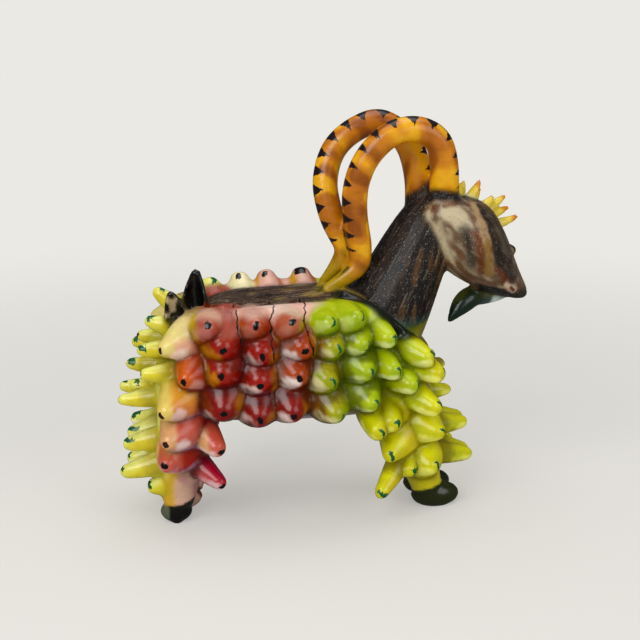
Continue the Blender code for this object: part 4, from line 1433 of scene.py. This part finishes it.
# Ink marks in millimetres: dots, arcs and the saw teeth of the horns, with ragged edges.
DOT_RADIUS = 2.1
ARC_RADIUS = 3.3
ARC_HALF_WIDTH = 1.1
ARC_CLOSING = 0.55
TOOTH_PITCH = 9.8
TOOTH_DEPTH = 9.6
TOOTH_NARROWING = 2.4
TOOTH_BAND = 0.7
TOOTH_PITCH_RAGGED = 0.08
TOOTH_DEPTH_RAGGED = 1.2
MARK_EDGE = (-0.12, 0.22)
STYLE_MARGIN = 0.45
RAGGED_SIZE = 1.667
RAGGED_REACH = 2.4

# Hairline cracks: half width, fully dark within the second size, and how ragged they are.
CRACK_EDGE = (0.75, 0.2)
CRACK_END = (0.4, 0.7)
CRACK_RAGGED = 0.35

# Patterns of the glaze by their sizes in millimetres. Specks and the painted glints are finer on the real
# one, and are drawn as coarse as they need to show.
MOTTLE_SIZE = 4.167
MOTTLE_VALUE = 0.36
SPECK_SIZE = 0.769
SPECK_VALUE = 0.22
LOWEST_VALUE = 0.72
SATURATION = 1.05
SPECK_SATURATION = 0.12
RIPPLE_SIZE = 6.25
SPARKLE_SIZE = 0.588
SPARKLE_EDGE = (0.68, 0.74)
SPARKLE_BARK = (0.15, 0.35)
SPARKLE_STRENGTH = 0.7

# Bark fibres: size along and across in millimetres, the swirl that bends them, and their light and dark
# layers as colour, where the noise starts and covers, and strength.
FIBRE_SIZE = (16.67, 1.613, 1.613)
SWIRL_SIZE = 13.33
SWIRL_REACH = 4.0
FIBRE_LAYERS = (("plate_streak", 0.54, 0.7, 0.75), ("fibre_dark", 0.48, 0.36, 0.85))

# Gloss of the glaze, and how bark streaks and crevices dull it.
GLAZE_ROUGHNESS = 0.23
SPECK_ROUGHNESS = 0.06
BARK_ROUGHNESS = 0.2
FIBRE_ROUGHNESS = 0.5
CREVICE_DULLING = 0.9
GLAZE_SPECULAR = 0.5
BARK_SPECULAR_LOSS = 0.42
COAT_WEIGHT = 0.2
COAT_BARK_LOSS = 0.4
COAT_ROUGHNESS = 0.16
RIPPLE_HEIGHT = 0.5
GROOVE_HEIGHT = 1.3
INK_HEIGHT = 0.12
BUMP_STRENGTH = 0.6
BUMP_DISTANCE = 0.9


def add_node(tree, kind, inputs=(), output=0, **settings):
    """Add a node with its settings and inputs, each a value or a socket, and return one of its outputs."""
    node = tree.nodes.new(kind)
    for name, value in settings.items():
        setattr(node, name, value)
    for name, value in (inputs if isinstance(inputs, dict) else dict(enumerate(inputs))).items():
        if isinstance(value, bpy.types.NodeSocket):
            tree.links.new(value, node.inputs[name])
        else:
            node.inputs[name].default_value = value
    return node.outputs[output]


def cloud(vector, size, detail=2.0, roughness=0.5):
    """Inputs of a cloud noise whose patches have about this size in millimetres."""
    return {"Vector": vector, "Scale": 1 / (size * MM), "Detail": detail, "Roughness": roughness}


def dot_field(add, length):
    """Millimetres inside a round dot."""
    return add("ShaderNodeMath", (DOT_RADIUS, length), operation="SUBTRACT")


def arc_field(add, first, second, length):
    """Millimetres inside an arc that thins out away from its middle."""
    angle = add("ShaderNodeMath", (second, first), operation="ARCTAN2")
    square = add("ShaderNodeMath", (angle, angle), operation="MULTIPLY")
    closing = -ARC_CLOSING * ARC_HALF_WIDTH
    half = add("ShaderNodeMath", (square, closing, ARC_HALF_WIDTH), operation="MULTIPLY_ADD")
    away = add("ShaderNodeMath", (length, ARC_RADIUS), operation="SUBTRACT")
    away = add("ShaderNodeMath", (away,), operation="ABSOLUTE")
    return add("ShaderNodeMath", (half, away), operation="SUBTRACT")


def saw_field(add, first, second, ragged):
    """Millimetres inside the saw teeth that point from the horn's outer ridge across it."""
    shake = add("ShaderNodeMath", (ragged, TOOTH_PITCH_RAGGED), operation="MULTIPLY")
    turns = add("ShaderNodeMath", (first, 1 / TOOTH_PITCH, shake), operation="MULTIPLY_ADD")
    part = add("ShaderNodeMath", (turns,), operation="FRACT")
    beat = add("ShaderNodeMath", (part, 0.5), operation="SUBTRACT")
    beat = add("ShaderNodeMath", (beat,), operation="ABSOLUTE")
    narrowing = -TOOTH_NARROWING * TOOTH_DEPTH
    tooth = add("ShaderNodeMath", (beat, narrowing, TOOTH_DEPTH), operation="MULTIPLY_ADD")
    tooth = add("ShaderNodeMath", (tooth, TOOTH_BAND), operation="MAXIMUM")
    depth = add("ShaderNodeMath", (ragged, TOOTH_DEPTH_RAGGED, second), operation="MULTIPLY_ADD")
    return add("ShaderNodeMath", (tooth, depth), operation="SUBTRACT")


def mark_mask(add, ragged):
    """Where the ink lies: dots and arcs on the tips, saw teeth on the horns."""
    stamp = add("ShaderNodeAttribute", output="Vector", attribute_name="stamp")
    first, second, style = add("ShaderNodeSeparateXYZ", (stamp,)).node.outputs
    flat = add("ShaderNodeVectorMath", (stamp, (1, 1, 0)), operation="MULTIPLY")
    length = add("ShaderNodeVectorMath", (flat,), "Value", operation="LENGTH")
    length = add("ShaderNodeMath", (length, ragged), operation="ADD")
    fields = {
        STYLE_DOT: dot_field(add, length),
        STYLE_ARC: arc_field(add, first, second, length),
        STYLE_HORN: saw_field(add, first, second, ragged),
    }
    mask = 0.0
    for level, field in fields.items():
        chosen = add("ShaderNodeMath", (style, level, STYLE_MARGIN), operation="COMPARE")
        inside = add("ShaderNodeMapRange", (field, *MARK_EDGE), interpolation_type="SMOOTHSTEP")
        inside = add("ShaderNodeMath", (chosen, inside), operation="MULTIPLY")
        mask = add("ShaderNodeMath", (mask, inside), operation="MAXIMUM")
    return mask


def mottled_paint(add, spot, specks):
    """The painter's colours with the mottling of a glaze brushed on by hand."""
    patches = add("ShaderNodeTexNoise", cloud(spot, MOTTLE_SIZE, 3.0, 0.6))
    value = add("ShaderNodeMath", (specks, SPECK_VALUE, LOWEST_VALUE), operation="MULTIPLY_ADD")
    value = add("ShaderNodeMath", (patches, MOTTLE_VALUE, value), operation="MULTIPLY_ADD")
    saturation = add("ShaderNodeMath", (specks, SPECK_SATURATION, SATURATION), operation="MULTIPLY_ADD")
    painted = add("ShaderNodeAttribute", output="Color", attribute_name="glaze")
    return add("ShaderNodeHueSaturation", {"Value": value, "Saturation": saturation, "Color": painted})


def bark_fibres(add, spot, streak):
    """Noise drawn out along the grain, which swirls a little, as in bark."""
    grain = add("ShaderNodeAttribute", output="Vector", attribute_name="grain")
    stretch = tuple(1 / size for size in FIBRE_SIZE)
    drawn = add("ShaderNodeVectorMath", (grain, stretch), operation="MULTIPLY")
    swirl = add("ShaderNodeTexNoise", cloud(spot, SWIRL_SIZE, 1.0))
    reach = add("ShaderNodeMath", (streak, SWIRL_REACH), operation="MULTIPLY")
    swirl = add("ShaderNodeMath", (swirl, reach), operation="MULTIPLY")
    drawn = add("ShaderNodeVectorMath", (drawn, swirl), operation="ADD")
    return add("ShaderNodeTexNoise", {"Vector": drawn, "Scale": 1.0, "Detail": 5.0, "Roughness": 0.62})


def with_bark(add, colour, spot, streak, fibres):
    """The colour with light and dark bark streaks about 1 mm wide, on plate, neck and cheeks, and painted
    glints.
    """
    for tint, low, high, strength in FIBRE_LAYERS:
        cover = add("ShaderNodeMapRange", (fibres, low, high), interpolation_type="SMOOTHSTEP")
        amount = add("ShaderNodeMath", (streak, strength), operation="MULTIPLY")
        amount = add("ShaderNodeMath", (cover, amount), operation="MULTIPLY")
        colour = add("ShaderNodeMix", {0: amount, 6: colour, 7: linear(PLAIN[tint])}, 2, data_type="RGBA")
    # Painted glints: pale specks where the crazed glaze catches the light on the neck and the face.
    grains = add("ShaderNodeTexNoise", cloud(spot, SPARKLE_SIZE, 1.0))
    painted_glint = add("ShaderNodeMapRange", (grains, *SPARKLE_EDGE), interpolation_type="SMOOTHSTEP")
    bark = add("ShaderNodeMapRange", (streak, *SPARKLE_BARK), interpolation_type="SMOOTHSTEP")
    amount = add("ShaderNodeMath", (bark, SPARKLE_STRENGTH), operation="MULTIPLY")
    amount = add("ShaderNodeMath", (painted_glint, amount), operation="MULTIPLY")
    return add("ShaderNodeMix", {0: amount, 6: colour, 7: linear(PLAIN["painted_glint"])}, 2, data_type="RGBA")


def with_cracks(add, colour, ragged):
    """The colour with hairline firing cracks, dark and about 1 mm wide."""
    crack = add("ShaderNodeAttribute", output="Vector", attribute_name="crack")
    away, runs = add("ShaderNodeSeparateXYZ", (crack,)).node.outputs[:2]
    away = add("ShaderNodeMath", (ragged, CRACK_RAGGED, away), operation="MULTIPLY_ADD")
    away = add("ShaderNodeMath", (away,), operation="ABSOLUTE")
    line = add("ShaderNodeMapRange", (away, *CRACK_EDGE), interpolation_type="SMOOTHSTEP")
    reach = add("ShaderNodeMapRange", (runs, *CRACK_END), interpolation_type="SMOOTHSTEP")
    amount = add("ShaderNodeMath", (line, reach), operation="MULTIPLY")
    return add("ShaderNodeMix", {0: amount, 6: colour, 7: linear(PLAIN["crack"])}, 2, data_type="RGBA")


def gloss_inputs(add, streak, fibres, specks):
    """Roughness, specular and coat: a wet gloss that fades on bark and where glaze pools in crevices."""
    dull = add("ShaderNodeMath", (fibres, FIBRE_ROUGHNESS, BARK_ROUGHNESS), operation="MULTIPLY_ADD")
    rough = add("ShaderNodeMath", (specks, SPECK_ROUGHNESS, GLAZE_ROUGHNESS), operation="MULTIPLY_ADD")
    rough = add("ShaderNodeMath", (streak, dull, rough), operation="MULTIPLY_ADD")
    crevice = add("ShaderNodeAttribute", output="Fac", attribute_name="crevice")
    open_face = add("ShaderNodeMath", (crevice, -CREVICE_DULLING, 1.0), operation="MULTIPLY_ADD")
    sheen = add("ShaderNodeMath", (streak, -BARK_SPECULAR_LOSS, GLAZE_SPECULAR), operation="MULTIPLY_ADD")
    sheen = add("ShaderNodeMath", (open_face, sheen), operation="MULTIPLY")
    coat = (streak, -COAT_BARK_LOSS, COAT_WEIGHT)
    coat = add("ShaderNodeMath", coat, operation="MULTIPLY_ADD", use_clamp=True)
    coat = add("ShaderNodeMath", (open_face, coat), operation="MULTIPLY")
    return {"Roughness": rough, "Specular IOR Level": sheen, "Coat Weight": coat}


def glaze_relief(add, spot, streak, fibres, mask):
    """Orange-peel ripple of the pooled glaze, grooves along the bark and ink that stands up a little."""
    ripple = add("ShaderNodeTexNoise", cloud(spot, RIPPLE_SIZE))
    height = add("ShaderNodeMath", (mask, INK_HEIGHT), operation="MULTIPLY")
    height = add("ShaderNodeMath", (ripple, RIPPLE_HEIGHT, height), operation="MULTIPLY_ADD")
    grooves = add("ShaderNodeMath", (fibres, streak), operation="MULTIPLY")
    height = add("ShaderNodeMath", (grooves, GROOVE_HEIGHT, height), operation="MULTIPLY_ADD")
    relief = {"Height": height, "Strength": BUMP_STRENGTH, "Distance": BUMP_DISTANCE * MM}
    return add("ShaderNodeBump", relief)


def glaze_material():
    """Thick clear gloss glaze over painted colours: wet highlights, pooled edges and bark streaks."""
    material = bpy.data.materials.new("thick_gloss_glaze")
    material.use_nodes = True
    tree = material.node_tree
    add = partial(add_node, tree)
    spot = add("ShaderNodeTexCoord", output="Object")
    streak = add("ShaderNodeAttribute", output="Fac", attribute_name="streak")
    specks = add("ShaderNodeTexNoise", cloud(spot, SPECK_SIZE, 2.0, 0.6))
    fibres = bark_fibres(add, spot, streak)
    ragged = add("ShaderNodeTexNoise", cloud(spot, RAGGED_SIZE))
    ragged = add("ShaderNodeMath", (ragged, RAGGED_REACH, -RAGGED_REACH / 2), operation="MULTIPLY_ADD")
    mask = mark_mask(add, ragged)
    ink = add("ShaderNodeAttribute", output="Color", attribute_name="ink")
    colour = with_bark(add, mottled_paint(add, spot, specks), spot, streak, fibres)
    colour = add("ShaderNodeMix", {0: mask, 6: colour, 7: ink}, 2, data_type="RGBA")
    shader = tree.nodes["Principled BSDF"]
    tree.links.new(with_cracks(add, colour, ragged), shader.inputs["Base Color"])
    for name, socket in gloss_inputs(add, streak, fibres, specks).items():
        tree.links.new(socket, shader.inputs[name])
    shader.inputs["Coat Roughness"].default_value = COAT_ROUGHNESS
    tree.links.new(glaze_relief(add, spot, streak, fibres, mask), shader.inputs["Normal"])
    return material


def make_goat():
    """The dressed figurine."""
    forms = all_forms()
    goat = bpy.data.objects.new("goat_glazed", joined([form.mesh for form in forms]))
    bpy.context.scene.collection.objects.link(goat)
    skin = fused_skin(goat)
    stand_flat(skin)
    spots = vertex_places(skin) / MM
    seat_in_frame(skin)
    paint_skin(skin, forms, spots)
    skin.materials.clear()
    skin.materials.append(glaze_material())
    for face in skin.polygons:
        face.use_smooth = True
    goat.data = skin
    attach(goat, "root")
    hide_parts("goat")
    return goat


# Studio, in metres: floor, soft square lamps as place, size and power, and a dim pale sky.
FLOOR_RADIUS = 30.0
FLOOR_SIDES = 64
FLOOR_COLOUR = "dedcd6"
FLOOR_ROUGHNESS = 0.8
FLOOR_SPECULAR = 0.15
FLOOR_MIRRORED_STRENGTH = 0.12
BACKDROP_COLOUR = "ebe9e4"
BACKDROP_SHARE_NEAR = 0.4
BACKDROP_FADE = (0.2, 0.9)
LAMP_TARGET = (0, 0, 0.12)
LAMPS = {
    "key": ((-0.75, -0.9, 0.9), 0.9, 11),
    "fill": ((0.8, -1.0, 0.6), 0.9, 5),
    "top": ((0.1, 0.1, 1.3), 1.0, 6),
}
SKY_COLOUR = "f2f1ee"
SKY_STRENGTH = 0.4
MIRRORED_SKY_SHARE = 0.15
CAMERA_NEAR_CLIP = 0.01


def look_along(thing, spot, target):
    """Put a lamp or camera at a spot, facing the target, in metres."""
    thing.location = spot
    thing.rotation_euler = (Vector(target) - Vector(spot)).to_track_quat("-Z", "Y").to_euler()


def place_camera():
    """Camera at the photograph's viewing angle."""
    data = bpy.data.cameras.new("camera")
    data.lens = CAMERA_LENS
    data.sensor_width = SENSOR_WIDTH
    data.clip_start = CAMERA_NEAR_CLIP
    camera = bpy.data.objects.new("camera", data)
    bpy.context.scene.collection.objects.link(camera)
    turn = math.radians(CAMERA_AZIMUTH)
    rise = math.radians(CAMERA_ELEVATION)
    back = Vector((math.sin(turn) * math.cos(rise), -math.cos(turn) * math.cos(rise), math.sin(rise)))
    target = Vector(CAMERA_TARGET) * MM
    look_along(camera, target + back * CAMERA_DISTANCE * MM, target)
    bpy.context.scene.camera = camera


def hang_lamps():
    """Soft square lamps that face the goat."""
    for name, (spot, size, power) in LAMPS.items():
        data = bpy.data.lights.new(name, "AREA")
        data.shape = "SQUARE"
        data.size = size
        data.energy = power
        lamp = bpy.data.objects.new(name, data)
        bpy.context.scene.collection.objects.link(lamp)
        look_along(lamp, spot, LAMP_TARGET)


def light_sky():
    """Dim even sky; mirrored in the glaze it is darker still, so that dark glazes stay dark."""
    world = bpy.data.worlds.new("studio")
    bpy.context.scene.world = world
    world.use_nodes = True
    tree = world.node_tree
    sky = tree.nodes["Background"]
    sky.inputs["Color"].default_value = linear(SKY_COLOUR)
    mirrored = add_node(tree, "ShaderNodeLightPath", output="Is Glossy Ray")
    dimming = -SKY_STRENGTH * (1.0 - MIRRORED_SKY_SHARE)
    strength = add_node(tree, "ShaderNodeMath", (mirrored, dimming, SKY_STRENGTH), operation="MULTIPLY_ADD")
    tree.links.new(strength, sky.inputs["Strength"])


def floor_material():
    """Matt paper floor: its shadow shows round the goat, and it turns to one even pale tone further out."""
    material = bpy.data.materials.new("matt_studio_paper")
    material.use_nodes = True
    tree = material.node_tree
    add = partial(add_node, tree)
    shader = tree.nodes["Principled BSDF"]
    shader.inputs["Base Color"].default_value = linear(FLOOR_COLOUR)
    shader.inputs["Roughness"].default_value = FLOOR_ROUGHNESS
    shader.inputs["Specular IOR Level"].default_value = FLOOR_SPECULAR
    spot = add("ShaderNodeTexCoord", output="Object")
    away = add("ShaderNodeVectorMath", (spot,), "Value", operation="LENGTH")
    even = add("ShaderNodeMapRange", (away, *BACKDROP_FADE), interpolation_type="SMOOTHSTEP")
    fade = (even, 1.0 - BACKDROP_SHARE_NEAR, BACKDROP_SHARE_NEAR)
    even = add("ShaderNodeMath", fade, operation="MULTIPLY_ADD")
    path = add("ShaderNodeLightPath").node.outputs
    even = add("ShaderNodeMath", (even, path["Is Camera Ray"]), operation="MULTIPLY")
    glow = add("ShaderNodeEmission", {"Color": linear(BACKDROP_COLOUR)})
    paper = add("ShaderNodeMixShader", (even, shader.outputs[0], glow))
    dim = add("ShaderNodeEmission", {"Color": linear(FLOOR_COLOUR), "Strength": FLOOR_MIRRORED_STRENGTH})
    paper = add("ShaderNodeMixShader", (path["Is Glossy Ray"], paper, dim))
    tree.links.new(paper, tree.nodes["Material Output"].inputs["Surface"])
    return material


def lay_floor():
    """Pale floor that runs out to the horizon."""
    plane = bmesh.new()
    bmesh.ops.create_circle(plane, cap_ends=True, radius=FLOOR_RADIUS, segments=FLOOR_SIDES)
    mesh = bpy.data.meshes.new("floor")
    plane.to_mesh(mesh)
    plane.free()
    floor = bpy.data.objects.new("floor", mesh)
    bpy.context.scene.collection.objects.link(floor)
    mesh.materials.append(floor_material())


goat = make_goat()
lay_floor()
hang_lamps()
light_sky()
place_camera()
bpy.context.scene.view_settings.view_transform = "Standard"
